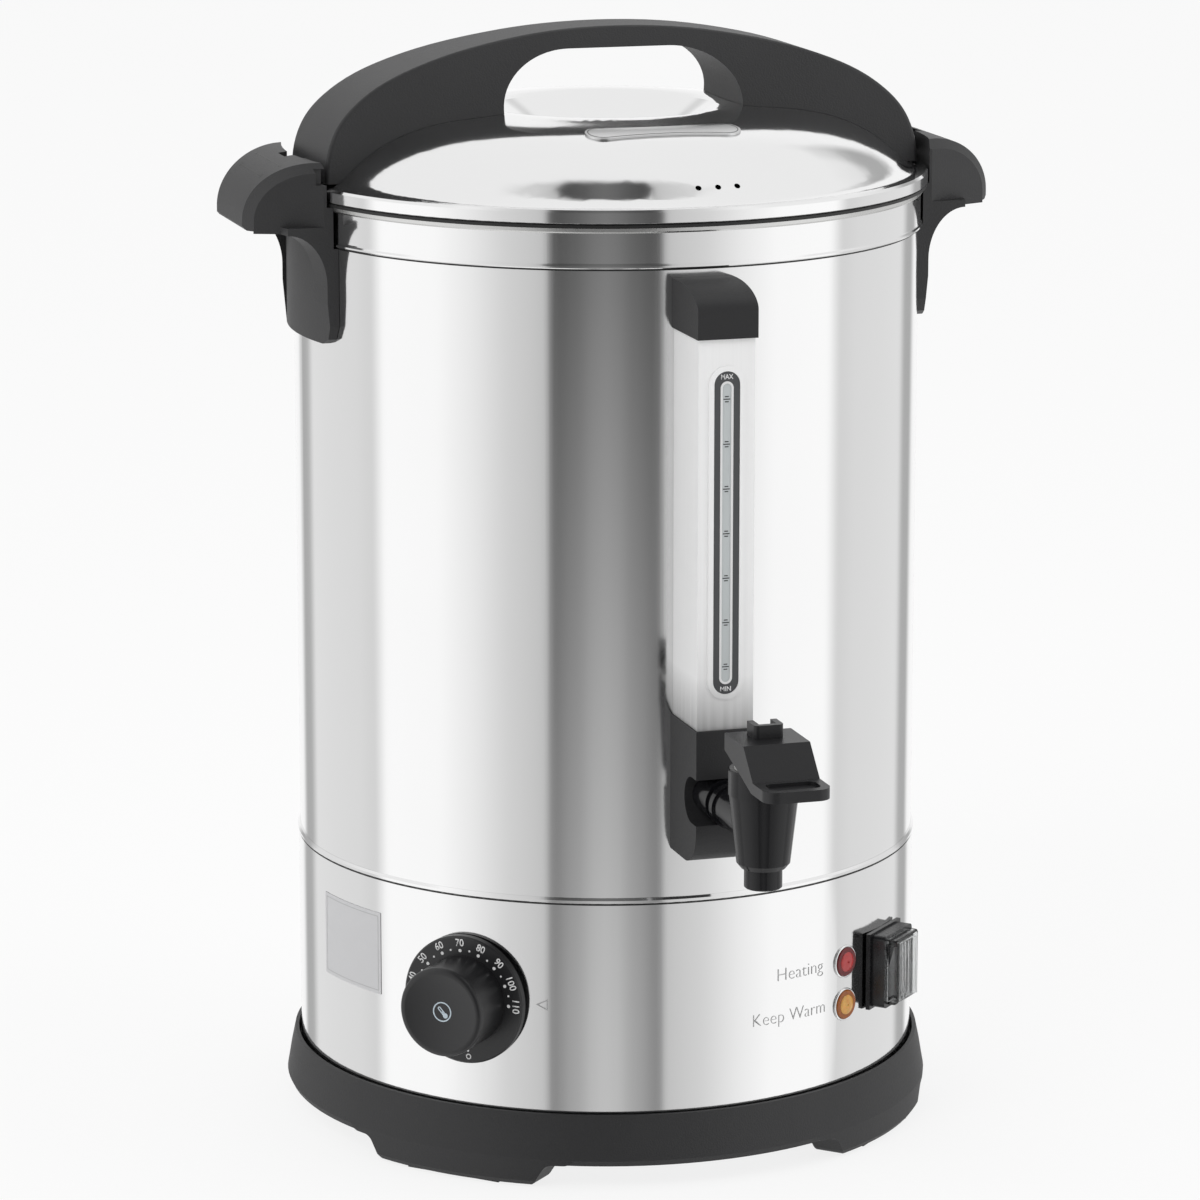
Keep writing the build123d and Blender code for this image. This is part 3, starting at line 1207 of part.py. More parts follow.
def inlet_socket():
    at = inlet_plane()
    half_w, half_h = 0.5 * INLET_W, 0.5 * INLET_H
    flange = extrude(Pos(0, 0, 0.1) * RectangleRounded(INLET_FLANGE_W, INLET_H + 6, 4), amount=INLET_FLANGE_T)
    box_low = -INLET_D - 2
    shroud = block((-half_w - 1.6, half_w + 1.6), (-half_h - 1.6, half_h + 1.6), (box_low, 0.5))
    hole = block((-half_w, half_w), (-half_h, half_h), (box_low + 2.4, 5))
    hole = chamfer(hole.edges().filter_by(Axis.Z).sort_by(Axis.Y)[-2:], 4)
    socket = flange + shroud - hole
    for side in (-1, 1):
        socket -= disc(1.7, -1, 5, 0.5 * side * INLET_SCREW_PITCH)
    for x, y in inlet_pin_places():
        socket -= Pos(x, y, box_low) * Box(PIN_T, PIN_W, 12)
    return at * socket


def inlet_pin_places():
    return ((-7, -2), (0, 2), (7, -2))


def inlet_pins():
    at = inlet_plane()
    back = -INLET_D - 10
    pins = [slab(at, 0.5 * PIN_T - 0.02, 0.5 * PIN_W - 0.02, back, -INLET_D + PIN_L, x, y)
            for x, y in inlet_pin_places()]
    return Compound(children=pins)


def socket_screws():
    at = inlet_plane()
    top = 0.1 + INLET_FLANGE_T
    screws = []
    for side in (-1, 1):
        x = 0.5 * side * INLET_SCREW_PITCH
        head = peg(at, 3, top, top + 1.8, x) - slab(at, 2.5, 0.4, top + 0.9, top + 3, x)
        screws.append(head + peg(at, 1.6, -6, top + 0.2, x))
    return screws


# ================================================================== heating and boil-dry cut-out
def element_plate():
    top = z_tank_floor()
    plate = disc(ELEMENT_PLATE_R, top - ELEMENT_PLATE_T, top)
    return plate - bulb_hole()


def z_element():
    return z_tank_floor() - ELEMENT_PLATE_T


def heating_element():
    """Open ring under the plate with two cold ends turned down."""
    z = z_element() - ELEMENT_TUBE_R
    opening = 24
    arc = CenterArc((0, 0, z), ELEMENT_R, -90 + opening / 2, 360 - opening)
    coil = sweep(Plane(arc @ 0, z_dir=arc % 0) * Circle(ELEMENT_TUBE_R), path=arc)
    ends = []
    for point in (arc @ 0, arc @ 1):
        ends.append(disc(ELEMENT_TUBE_R, z - 26, z, point.X, point.Y))
        ends.append(Pos(point.X, point.Y, z) * Sphere(ELEMENT_TUBE_R + EASE))
        ends.append(disc(1.6, z - 34, z - 25, point.X, point.Y))
    for end in ends:
        coil += end
    return coil


def stud_places():
    r = 0.55 * ELEMENT_R
    return [(r * cos(radians(a)), r * sin(radians(a))) for a in (90, 210, 330)]


def element_clamp():
    """Three welded studs with nuts, which carry the heat shield."""
    top = z_element()
    pieces = []
    for x, y in stud_places():
        stud = disc(STUD_R, top - STUD_L, top, x, y)
        nut = Pos(x, y, z_shield() - 4) * extrude(RegularPolygon(4.4, 6), amount=4)
        pieces.append(stud + nut)
    return Compound(children=pieces)


def z_shield():
    return z_element() - 2 * ELEMENT_TUBE_R - 3


def heat_shield():
    z = z_shield()
    shield = disc(SHIELD_R, z, z + SHIELD_T)
    for x, y in stud_places():
        shield += disc(STUD_R + 2.5, z, z_element(), x, y)
        shield -= disc(STUD_R + RUN, 0, BIG, x, y)
    for x in (-1, 1):
        end_x, end_y = x * ELEMENT_R * sin(radians(12)), -ELEMENT_R * cos(radians(12))
        shield -= disc(ELEMENT_TUBE_R + 2.5, 0, BIG, end_x, end_y)
    shield -= disc(CUTOUT_R + 5, 0, BIG, CUTOUT_X, -CUTOUT_X)
    return shield - disc(BULB_R + 3, 0, BIG, -CUTOUT_X, CUTOUT_X)


def thermal_cutout():
    x, y = CUTOUT_X, -CUTOUT_X
    z = z_element()
    body = disc(CUTOUT_R, z - CUTOUT_H, z, x, y) + disc(CUTOUT_R - 3, z - CUTOUT_H - 3, z - CUTOUT_H, x, y)
    for at in (x - 10, x + 10):
        body += block((at - 3, at + 3), (y - 0.4, y + 0.4), (z - CUTOUT_H - 7, z - CUTOUT_H + 2))
    return body - disc(RESET_ROD_R + RUN, 0, z - 3, x, y)


def reset_guide():
    """Bush in the base plate that the reset button slides in."""
    x, y = CUTOUT_X, -CUTOUT_X
    low = z_plate()
    bush = disc(RESET_R + 0.45, low - 1, low + 8, x, y)
    bush += disc(RESET_R + 2.5, low + PLATE_T, low + PLATE_T + 1.5, x, y)
    return bush - disc(RESET_R - 1 + RUN, 0, BIG, x, y)


def reset_button():
    x, y = CUTOUT_X, -CUTOUT_X
    low = z_plate()
    button = disc(RESET_R - 1, low - RESET_PROUD, low + 9.5, x, y)
    rod = disc(RESET_ROD_R, low + 9, z_element() - 3 - RESET_TRAVEL - 0.4, x, y)
    stop = disc(RESET_R, low + 8, low + 9.5, x, y)
    return button + rod + stop


def bulb_hole():
    return disc(BULB_R + 1 + EASE, 0, z_tank_floor() + 20, -CUTOUT_X, CUTOUT_X)


def thermostat_bulb():
    """Sensing bulb that stands in the tank, with its gland through floor and plate."""
    x, y = -CUTOUT_X, CUTOUT_X
    floor = z_tank_floor() + TANK_SHEET
    gland = disc(BULB_R + 1, z_element() - 4, floor + 1, x, y) + disc(BULB_R + 4, floor, floor + 2.5, x, y)
    nut = disc(BULB_R + 3, z_element() - 4, z_element(), x, y)
    bulb = disc(BULB_R, floor, floor + BULB_L, x, y)
    bulb = bulb + gland + nut
    return bulb


def terminal_block():
    low = z_plate() + PLATE_T
    body = block((-16, 16), (52, 66), (low, low + 13))
    for x in (-10, 0, 10):
        body -= disc(2.2, low + 6, low + 20, x, 59)
    return body


def wiring():
    """Insulated leads from inlet, element, thermostat and switch, and the bulb's capillary."""
    low = z_plate() + PLATE_T
    block_x, block_back, block_front = 7.0, 66.0, 52.0
    turn_y = R_HOUSING - INLET_D - 10 - WIRE_LEAD
    back = R_HOUSING - INLET_D - 10
    cold_x, cold_y = ELEMENT_R * sin(radians(12)), -ELEMENT_R * cos(radians(12))
    z_cold = z_element() - ELEMENT_TUBE_R - 34
    stub = facing(DIAL_AZIMUTH, R_HOUSING - THERMOSTAT_D - 8, CONTROL_Z + 10)
    tab = facing(SWITCH_AZIMUTH, R_HOUSING - SWITCH_IN - 8, SWITCH_Z)
    case = facing(DIAL_AZIMUTH, R_HOUSING - THERMOSTAT_D - 3.6, CONTROL_Z - 8)
    routes = [[stub_point(stub, 0, 0, 0), stub_point(stub, 0, 0, -WIRE_LEAD),
               stub_point(stub, 0, -38, -WIRE_LEAD),
               (-block_x, 20, 50), (-block_x, 20, low + 4), (-block_x, block_front, low + 4)],
              [stub_point(tab, -5, -8, 0), stub_point(tab, -5, -8, -WIRE_LEAD),
               stub_point(tab, -5, -22, -WIRE_LEAD),
               (block_x, 20, 55), (block_x, 20, low + 4), (block_x, block_front, low + 4)],
              [(-CUTOUT_X, CUTOUT_X, z_element() - 4), (-CUTOUT_X, CUTOUT_X, 70), stub_point(case, 0, -0.5, 0)]]
    for side in (-1, 1):
        x = side * block_x
        routes.append([(x, back, INLET_Z - 2), (x, turn_y, INLET_Z - 2), (x, turn_y, low + 10),
                       (x, block_back, low + 10)])
        x = side * cold_x
        routes.append([(x, cold_y, z_cold), (x, cold_y, 45), (x, 30, 45), (x, 30, low + 8),
                       (x, block_front, low + 8)])
    leads = []
    for route in routes:
        path = FilletPolyline(*route, radius=WIRE_BEND)
        leads.append(sweep(Plane(path @ 0, z_dir=path % 0) * Circle(WIRE_R), path=path))
    return Compound(children=leads)


def stub_point(plane, x, y, z):
    return tuple(plane.from_local_coords((x, y, z)))


# ================================================================== the urn
NODES = {
    "base_ring": base_ring,
    "foot_pads": lambda: Compound(children=[foot_pad(a) for a in FOOT_AZIMUTHS]),
    "base_plate": base_plate,
    "outside_screws": lambda: Compound(children=plate_screws() + socket_screws()),
    "lower_housing": lower_housing,
    "joint_ring": joint_ring,
    "outer_shell": outer_shell,
    "rim_collar": rim_collar,
    "inner_tank": inner_tank,
    "lid_pan": lid_pan,
    "lid_seal": lid_seal,
    "lid_badge": lid_badge,
    "lid_handle": lid_handle,
    "lid_handle_screws": lid_handle_screws,
    "side_handle_right": lambda: side_handle(0),
    "side_handle_left": lambda: side_handle(180),
    "inside_screws": lambda: Compound(children=handle_screws() + column_screws() + dial_screws()),
    "gauge_channel": gauge_channel,
    "gauge_bezel": gauge_bezel,
    "gauge_window": gauge_window,
    "sight_tube": sight_tube,
    "gauge_seals": gauge_seals,
    "gauge_cap": gauge_cap,
    "gauge_elbow": gauge_elbow,
    "tap_block": tap_block,
    "tap_washers": tap_washers,
    "tap_nuts": tap_nuts,
    "tap_shank": tap_shank,
    "tap_collar": tap_collar,
    "tap_body": tap_body,
    "tap_bonnet": tap_bonnet,
    "tap_gland": tap_gland,
    "tap_pivot_pin": tap_pivot_pin,
    "tap_lift_pin": tap_lift_pin,
    "tap_stem": tap_stem,
    "tap_seat": tap_seat,
    "tap_spring": tap_spring,
    "tap_lever": tap_lever,
    "thermostat_knob": thermostat_knob,
    "thermostat_shaft": thermostat_shaft,
    "thermostat_body": thermostat_body,
    "thermostat_bulb": thermostat_bulb,
    "lamp_red": lambda: lamp(lamp_heights()[1]),
    "lamp_amber": lambda: lamp(lamp_heights()[0]),
    "lamp_holders": lamp_holders,
    "switch_frame": switch_frame,
    "switch_rocker": switch_rocker,
    "switch_cover": switch_cover,
    "switch_terminals": switch_terminals,
    "inlet_socket": inlet_socket,
    "inlet_pins": inlet_pins,
    "element_plate": element_plate,
    "heating_element": heating_element,
    "element_clamp": element_clamp,
    "heat_shield": heat_shield,
    "thermal_cutout": thermal_cutout,
    "reset_guide": reset_guide,
    "reset_button": reset_button,
    "terminal_block": terminal_block,
    "wiring": wiring,
}

if __name__ == "__main__":
    os.makedirs("parts", exist_ok=True)
    for name, make in NODES.items():
        export_step(make(), f"parts/{name}.step")
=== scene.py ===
import math

import bmesh
import bpy
from mathutils import Matrix, Vector
from mathutils.bvhtree import BVHTree


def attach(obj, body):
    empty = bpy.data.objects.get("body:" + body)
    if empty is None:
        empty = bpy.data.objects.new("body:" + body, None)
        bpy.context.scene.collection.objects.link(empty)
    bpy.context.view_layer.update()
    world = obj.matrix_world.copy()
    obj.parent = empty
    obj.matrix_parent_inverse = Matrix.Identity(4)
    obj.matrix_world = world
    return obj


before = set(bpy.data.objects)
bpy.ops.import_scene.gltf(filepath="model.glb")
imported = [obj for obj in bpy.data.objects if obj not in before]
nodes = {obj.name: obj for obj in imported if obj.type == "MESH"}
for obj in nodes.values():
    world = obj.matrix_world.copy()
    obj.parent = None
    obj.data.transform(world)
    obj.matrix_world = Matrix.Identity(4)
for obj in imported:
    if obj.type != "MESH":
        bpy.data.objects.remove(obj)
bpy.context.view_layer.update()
MM = 0.001

# ---------------------------------------------------------------- camera
VIEW_AZIMUTH = -17.0
CAMERA_SPOT = Vector((-0.6396, -2.0918, 0.7059))
CAMERA_PITCH = math.radians(-12.45)
CAMERA_YAW = math.radians(-0.063)
CAMERA_LENS = 153.27
CAMERA_FILM = 36
CAMERA_NEAR = 0.05


def make_camera():
    turn = Matrix.Rotation(math.radians(VIEW_AZIMUTH), 3, "Z")
    level = math.cos(CAMERA_PITCH)
    forward = Vector((math.sin(CAMERA_YAW) * level, math.cos(CAMERA_YAW) * level, math.sin(CAMERA_PITCH)))
    right = Vector((math.cos(CAMERA_YAW), -math.sin(CAMERA_YAW), 0))
    up = right.cross(forward)
    basis = Matrix((turn @ right, turn @ up, -(turn @ forward))).transposed()
    data = bpy.data.cameras.new("camera")
    data.lens = CAMERA_LENS
    data.sensor_width = CAMERA_FILM
    data.clip_start = CAMERA_NEAR
    cam = bpy.data.objects.new("camera", data)
    bpy.context.scene.collection.objects.link(cam)
    cam.matrix_world = Matrix.Translation(CAMERA_SPOT) @ basis.to_4x4()
    bpy.context.scene.camera = cam


make_camera()


# ---------------------------------------------------------------- node helpers
class Tree:
    """Short names for building a material's nodes."""

    def __init__(self, name):
        self.mat = bpy.data.materials.new(name)
        self.mat.use_nodes = True
        self.nt = self.mat.node_tree
        self.bsdf = self.nt.nodes["Principled BSDF"]
        self.coord = self.nt.nodes.new("ShaderNodeTexCoord")

    def node(self, kind, **props):
        n = self.nt.nodes.new(kind)
        for key, value in props.items():
            setattr(n, key, value)
        return n

    def link(self, a, b):
        self.nt.links.new(a, b)

    def noise(self, scale, detail=3.0, stretch=(1, 1, 1)):
        m = self.node("ShaderNodeMapping")
        m.inputs["Scale"].default_value = stretch
        self.link(self.coord.outputs["Object"], m.inputs["Vector"])
        n = self.node("ShaderNodeTexNoise")
        n.inputs["Scale"].default_value = scale
        n.inputs["Detail"].default_value = detail
        self.link(m.outputs["Vector"], n.inputs["Vector"])
        return n.outputs["Fac"]

    def to_range(self, source, low, high):
        m = self.node("ShaderNodeMapRange")
        m.inputs["To Min"].default_value = low
        m.inputs["To Max"].default_value = high
        self.link(source, m.inputs["Value"])
        return m.outputs["Result"]

    def bump(self, height, strength, distance):
        b = self.node("ShaderNodeBump")
        b.inputs["Strength"].default_value = strength
        b.inputs["Distance"].default_value = distance
        self.link(height, b.inputs["Height"])
        return b.outputs["Normal"]

    def mix(self, factor, a, b):
        m = self.node("ShaderNodeMix", data_type="RGBA")
        for value, index in ((a, 6), (b, 7)):
            if isinstance(value, tuple):
                m.inputs[index].default_value = (*value, 1)
            else:
                self.link(value, m.inputs[index])
        self.link(factor, m.inputs[0])
        return m.outputs[2]


def steel(name, color, rough, grain=(1, 1, 0.01), grain_scale=900.0, spread=0.04, bump=0.02):
    """Metal with a fine stretched grain in its roughness and surface."""
    t = Tree(name)
    t.bsdf.inputs["Metallic"].default_value = 1.0
    lines = t.noise(grain_scale, 2.0, grain)
    clouds = t.noise(14.0, 3.0)
    tone = t.mix(clouds, tuple(c * 0.975 for c in color), color)
    t.link(tone, t.bsdf.inputs["Base Color"])
    t.link(t.to_range(lines, rough - spread, rough + spread), t.bsdf.inputs["Roughness"])
    t.link(t.bump(lines, bump, 0.0002), t.bsdf.inputs["Normal"])
    return t.mat


def plastic(name, color, rough, grain=1100.0, bump=0.25, spread=0.05, light=1.25, shine=0.5):
    """Moulded plastic with a fine spark-eroded texture."""
    t = Tree(name)
    t.bsdf.inputs["Specular IOR Level"].default_value = shine
    fine = t.noise(grain, 2.0)
    clouds = t.noise(30.0, 3.0)
    tone = t.mix(clouds, color, tuple(min(1.0, c * light) for c in color))
    t.link(tone, t.bsdf.inputs["Base Color"])
    t.link(t.to_range(fine, rough - spread, rough + spread), t.bsdf.inputs["Roughness"])
    if bump:
        t.link(t.bump(fine, bump, 0.0003), t.bsdf.inputs["Normal"])
    return t.mat


def clear(name, color, rough, ior=1.45):
    """Clear plastic or glass, a little uneven in tint."""
    t = Tree(name)
    wave = t.noise(60.0, 2.0)
    t.link(t.mix(wave, color, tuple(min(1.0, c * 1.03) for c in color)), t.bsdf.inputs["Base Color"])
    t.bsdf.inputs["Roughness"].default_value = rough
    t.bsdf.inputs["IOR"].default_value = ior
    t.bsdf.inputs["Transmission Weight"].default_value = 1.0
    return t.mat


# Painted shade near the sheet's foot: darkest and palest share of the sheet colour there, mottled by noise.
FOOT_SHADE_DARK, FOOT_SHADE_PALE = 0.26, 0.58


def satin_sheet(name, color, rough, foot, clear_of_foot):
    """Brushed sheet with upright grain, its colour darkened near its foot by painted shade."""
    t = Tree(name)
    t.bsdf.inputs["Metallic"].default_value = 0.2
    lines = t.noise(1500.0, 2.0, (1, 1, 0.008))
    wide = t.noise(420.0, 2.0, (1, 1, 0.02))
    split = t.node("ShaderNodeSeparateXYZ")
    t.link(t.coord.outputs["Object"], split.inputs[0])
    height = t.node("ShaderNodeMapRange")
    height.inputs["From Min"].default_value = foot
    height.inputs["From Max"].default_value = clear_of_foot
    t.link(split.outputs["Z"], height.inputs["Value"])
    # Painted shade: mottled darkening of the colour below the foot height, fading out above it.
    painted_foot_shade = t.mix(wide, tuple(c * FOOT_SHADE_DARK for c in color), tuple(c * FOOT_SHADE_PALE for c in color))
    even = t.mix(lines, tuple(c * 0.94 for c in color), color)
    t.link(t.mix(height.outputs["Result"], painted_foot_shade, even), t.bsdf.inputs["Base Color"])
    t.link(t.to_range(lines, rough - 0.06, rough + 0.06), t.bsdf.inputs["Roughness"])
    t.link(t.bump(lines, 0.06, 0.0002), t.bsdf.inputs["Normal"])
    return t.mat


# ---------------------------------------------------------------- materials
MIRROR = steel("polished_steel", (0.86, 0.86, 0.86), 0.10, (1, 1, 0.012), 800, 0.02, 0.012)
LID = steel("lid_steel", (0.87, 0.87, 0.87), 0.09, (1, 1, 1), 40, 0.015, 0.0)
TANK = steel("tank_steel", (0.66, 0.66, 0.65), 0.28, (1, 1, 0.02), 500, 0.05, 0.05)
BRUSHED = satin_sheet("brushed_steel", (0.97, 0.97, 0.97), 0.36, 0.203, 0.226)
BADGE = steel("badge_satin", (0.70, 0.70, 0.70), 0.30, (0.05, 1, 1), 1500, 0.05, 0.08)
SCREW = steel("screw_zinc", (0.60, 0.60, 0.58), 0.30, (1, 1, 1), 900, 0.08, 0.05)
SHEET = steel("galvanised_sheet", (0.48, 0.49, 0.50), 0.45, (1, 1, 1), 120, 0.12, 0.06)
PIN = steel("pin_steel", (0.62, 0.62, 0.62), 0.22, (1, 1, 1), 900, 0.05, 0.03)
BRASS = steel("tinned_brass", (0.62, 0.53, 0.34), 0.32, (1, 1, 1), 700, 0.06, 0.04)
CAST = steel("cast_aluminium", (0.55, 0.55, 0.56), 0.50, (1, 1, 1), 260, 0.1, 0.25)
ELEMENT = steel("element_sheath", (0.32, 0.32, 0.33), 0.38, (1, 1, 1), 400, 0.08, 0.1)
BASE = plastic("base_textured_black", (0.020, 0.020, 0.021), 0.56, 1300, 0.35)
HANDLE = plastic("handle_textured_black", (0.024, 0.024, 0.025), 0.52, 1250, 0.42)
BLOCK = plastic("block_textured_black", (0.019, 0.019, 0.020), 0.50, 1300, 0.30, shine=0.35)
TAP = plastic("tap_satin_black", (0.006, 0.006, 0.007), 0.13, 1500, 0.02, 0.03, shine=0.32)
LEVER = plastic("lever_satin_black", (0.013, 0.013, 0.014), 0.36, 1500, 0.12, shine=0.38)
KNOB = plastic("knob_satin_black", (0.012, 0.012, 0.013), 0.34, 1600, 0.10)
RUBBER = plastic("foot_rubber", (0.025, 0.025, 0.025), 0.75, 700, 0.2)
SEAL = plastic("seal_silicone", (0.008, 0.008, 0.008), 0.45, 500, 0.05)
GREY = plastic("gland_grey", (0.46, 0.46, 0.455), 0.42, 900, 0.08, 0.05, 1.05)
NATURAL = plastic("natural_moulding", (0.55, 0.55, 0.52), 0.45, 700, 0.08, 0.05, 1.05)
CASE = plastic("thermostat_moulding", (0.10, 0.095, 0.09), 0.55, 500, 0.2)
WIRE = plastic("wire_sleeve", (0.03, 0.03, 0.03), 0.5, 400, 0.05)
SWITCH = plastic("switch_black", (0.009, 0.009, 0.010), 0.26, 1600, 0.06)
ROCKER = plastic("rocker_black", (0.030, 0.030, 0.031), 0.30, 1500, 0.05)
INLET = plastic("inlet_black", (0.02, 0.02, 0.02), 0.42, 900, 0.12)
RESET = plastic("reset_red", (0.42, 0.03, 0.025), 0.35, 700, 0.05)
LABEL = plastic("label_paper", (0.60, 0.60, 0.61), 0.38, 120, 0.02, 0.05, 1.02)
PRINT_WHITE = plastic("print_white", (0.78, 0.78, 0.78), 0.45, 900, 0.02, 0.04, 1.0)
PRINT_GREY = plastic("print_grey", (0.42, 0.42, 0.42), 0.45, 900, 0.02, 0.04, 1.0)
PRINT_ICE = plastic("print_ice", (0.50, 0.58, 0.64), 0.40, 900, 0.02, 0.04, 1.0)
RING = steel("lamp_ring", (0.86, 0.86, 0.86), 0.18, (1, 1, 1), 900, 0.04, 0.02)
PRINT_WORDS = plastic("print_words", (0.52, 0.52, 0.52), 0.45, 900, 0.02, 0.04, 1.0)
# Black for print, also used for the painted shade lines under the rim collar and under the step.
PRINT_AND_SHADE_BLACK = plastic("print_and_painted_shade_black", (0.012, 0.012, 0.012), 0.45, 900, 0.02, 0.04, 1.0)
BEZEL = plastic("bezel_print", (0.055, 0.057, 0.060), 0.32, 900, 0.03)
STRIP = plastic("frosted_strip", (0.50, 0.53, 0.535), 0.22, 300, 0.02, 0.04, 1.10)
GLASS = clear("tube_glass", (0.92, 0.94, 0.94), 0.03)
COVER = clear("clear_cover", (0.90, 0.91, 0.91), 0.10, 1.40)

LOOK = {
    MIRROR: ("lower_housing", "outer_shell", "joint_ring", "rim_collar"),
    LID: ("lid_pan",),
    TANK: ("inner_tank", "thermostat_bulb"),
    BRUSHED: ("gauge_channel",),
    BADGE: ("lid_badge",),
    SCREW: ("outside_screws", "inside_screws", "lid_handle_screws", "element_clamp"),
    SHEET: ("base_plate", "heat_shield"),
    PIN: ("tap_pivot_pin", "tap_lift_pin", "tap_spring", "thermostat_shaft"),
    BRASS: ("switch_terminals", "inlet_pins"),
    CAST: ("element_plate",),
    ELEMENT: ("heating_element",),
    BASE: ("base_ring",),
    HANDLE: ("lid_handle", "side_handle_right", "side_handle_left"),
    BLOCK: ("gauge_cap", "tap_block"),
    TAP: ("tap_body", "tap_bonnet", "tap_collar", "tap_shank", "tap_nuts"),
    LEVER: ("tap_lever",),
    KNOB: ("thermostat_knob",),
    RUBBER: ("foot_pads", "gauge_seals", "tap_washers", "tap_seat"),
    SEAL: ("lid_seal",),
    GREY: ("tap_gland",),
    NATURAL: ("gauge_elbow", "reset_guide", "tap_stem", "lamp_holders"),
    CASE: ("thermostat_body", "thermal_cutout", "terminal_block"),
    WIRE: ("wiring",),
    SWITCH: ("switch_frame",),
    ROCKER: ("switch_rocker",),
    INLET: ("inlet_socket",),
    RESET: ("reset_button",),
    BEZEL: ("gauge_bezel",),
    STRIP: ("gauge_window",),
    GLASS: ("sight_tube",),
    COVER: ("switch_cover",),
}


def lens(name, color, glow):
    """Translucent coloured plastic, a little uneven in depth."""
    t = Tree(name)
    t.link(t.mix(t.noise(420, 2.0), color, glow), t.bsdf.inputs["Base Color"])
    t.bsdf.inputs["Roughness"].default_value = 0.18
    t.bsdf.inputs["Subsurface Weight"].default_value = 0.15
    t.bsdf.inputs["Subsurface Scale"].default_value = 0.002
    return t.mat


RED_RIM = lens("lamp_red_rim", (0.085, 0.004, 0.006), (0.16, 0.008, 0.010))
RED_EYE = lens("lamp_red_eye", (0.36, 0.028, 0.032), (0.52, 0.065, 0.062))
AMBER_RIM = lens("lamp_amber_rim", (0.24, 0.060, 0.008), (0.36, 0.110, 0.014))
AMBER_EYE = lens("lamp_amber_eye", (0.55, 0.250, 0.045), (0.78, 0.430, 0.110))
LOOK[RED_RIM] = ("lamp_red",)
LOOK[AMBER_RIM] = ("lamp_amber",)


def paint(obj, mat):
    obj.data.materials.clear()
    obj.data.materials.append(mat)


for mat, names in LOOK.items():
    for name in names:
        paint(nodes[name], mat)

# ---------------------------------------------------------------- studio
# Brightness of the walls round the urn, by degrees away from the side that the camera stands on.
SIDE_WALLS = [(36, 0.74), (50, 0.95), (64, 1.10), (89, 1.12), (95, 0.74), (104, 0.80), (138, 0.84), (144, 0.46),
              (152, 0.44), (158, 1.0), (180, 1.0)]
FRONT_HIGH = [(0, 0.165), (5, 0.14), (9, 0.105), (16, 0.07), (19.5, 0.085), (21.5, 0.62)]
FRONT_LOW = [(0, 0.62), (5, 0.58), (9, 0.47), (14, 0.40), (18, 0.29), (20.3, 0.28), (22, 0.62)]
FRONT_FADE = (-0.30, -0.13)
ROOF_FADE = (0.45, 0.62)
ROOF_BEHIND = (0.02, 0.09)
ROOF_TONE = 0.95
WALL_LEAN = 0.45
FLOOR_HALF, FLOOR_DROP = 8.0, 0.0004
FLOOR_TONE, FLOOR_GLOW = 0.9, 0.82


def make_world():
    world = bpy.data.worlds.new("studio")
    bpy.context.scene.world = world
    world.use_nodes = True
    nt = world.node_tree
    nt.nodes.clear()
    new, link = nt.nodes.new, nt.links.new
    out = new("ShaderNodeOutputWorld")
    coord = new("ShaderNodeTexCoord")
    turn = new("ShaderNodeMapping")
    turn.inputs["Rotation"].default_value = (0, 0, math.radians(-VIEW_AZIMUTH))
    link(coord.outputs["Generated"], turn.inputs["Vector"])
    split = new("ShaderNodeSeparateXYZ")
    link(turn.outputs["Vector"], split.inputs[0])

    def calc(op, a, b=None):
        n = new("ShaderNodeMath")
        n.operation = op
        for i, v in enumerate((a, b)):
            if v is None:
                continue
            if isinstance(v, (int, float)):
                n.inputs[i].default_value = v
            else:
                link(v, n.inputs[i])
        return n.outputs[0]

    side = calc("ABSOLUTE", split.outputs["X"])
    above = calc("MAXIMUM", split.outputs["Z"], 0.0)
    lean = calc("MULTIPLY", calc("MULTIPLY", above, above), WALL_LEAN)
    toward = calc("SUBTRACT", lean, split.outputs["Y"])
    angle = calc("DIVIDE", calc("ARCTAN2", side, toward), math.pi)

    def ramp(stops):
        r = new("ShaderNodeValToRGB")
        e = r.color_ramp.elements
        while len(e) < len(stops):
            e.new(1.0)
        for element, (deg, value) in zip(e, stops):
            element.position = deg / 180
            element.color = (value, value, value, 1)
        link(angle, r.inputs["Fac"])
        return r.outputs["Color"]

    def fade(source, limits):
        n = new("ShaderNodeMapRange")
        n.inputs["From Min"].default_value, n.inputs["From Max"].default_value = limits
        link(source, n.inputs["Value"])
        return n.outputs["Result"]

    high = ramp(FRONT_HIGH + SIDE_WALLS)
    low = ramp(FRONT_LOW + SIDE_WALLS)
    walls = new("ShaderNodeMix")
    walls.data_type = "RGBA"
    link(fade(split.outputs["Z"], FRONT_FADE), walls.inputs[0])
    link(low, walls.inputs[6])
    link(high, walls.inputs[7])
    whole = new("ShaderNodeMix")
    whole.data_type = "RGBA"
    roof = fade(split.outputs["Z"], ROOF_FADE)
    behind = fade(split.outputs["Y"], ROOF_BEHIND)
    link(calc("MULTIPLY", roof, behind), whole.inputs[0])
    link(walls.outputs[2], whole.inputs[6])
    whole.inputs[7].default_value = (ROOF_TONE, ROOF_TONE, ROOF_TONE, 1)
    seen = new("ShaderNodeBackground")
    seen.inputs["Color"].default_value = (1, 1, 1, 1)
    lit = new("ShaderNodeBackground")
    link(whole.outputs[2], lit.inputs["Color"])
    lit.inputs["Strength"].default_value = 1.0
    path = new("ShaderNodeLightPath")
    pick = new("ShaderNodeMixShader")
    link(path.outputs["Is Camera Ray"], pick.inputs[0])
    link(lit.outputs[0], pick.inputs[1])
    link(seen.outputs[0], pick.inputs[2])
    link(pick.outputs[0], out.inputs["Surface"])


make_world()


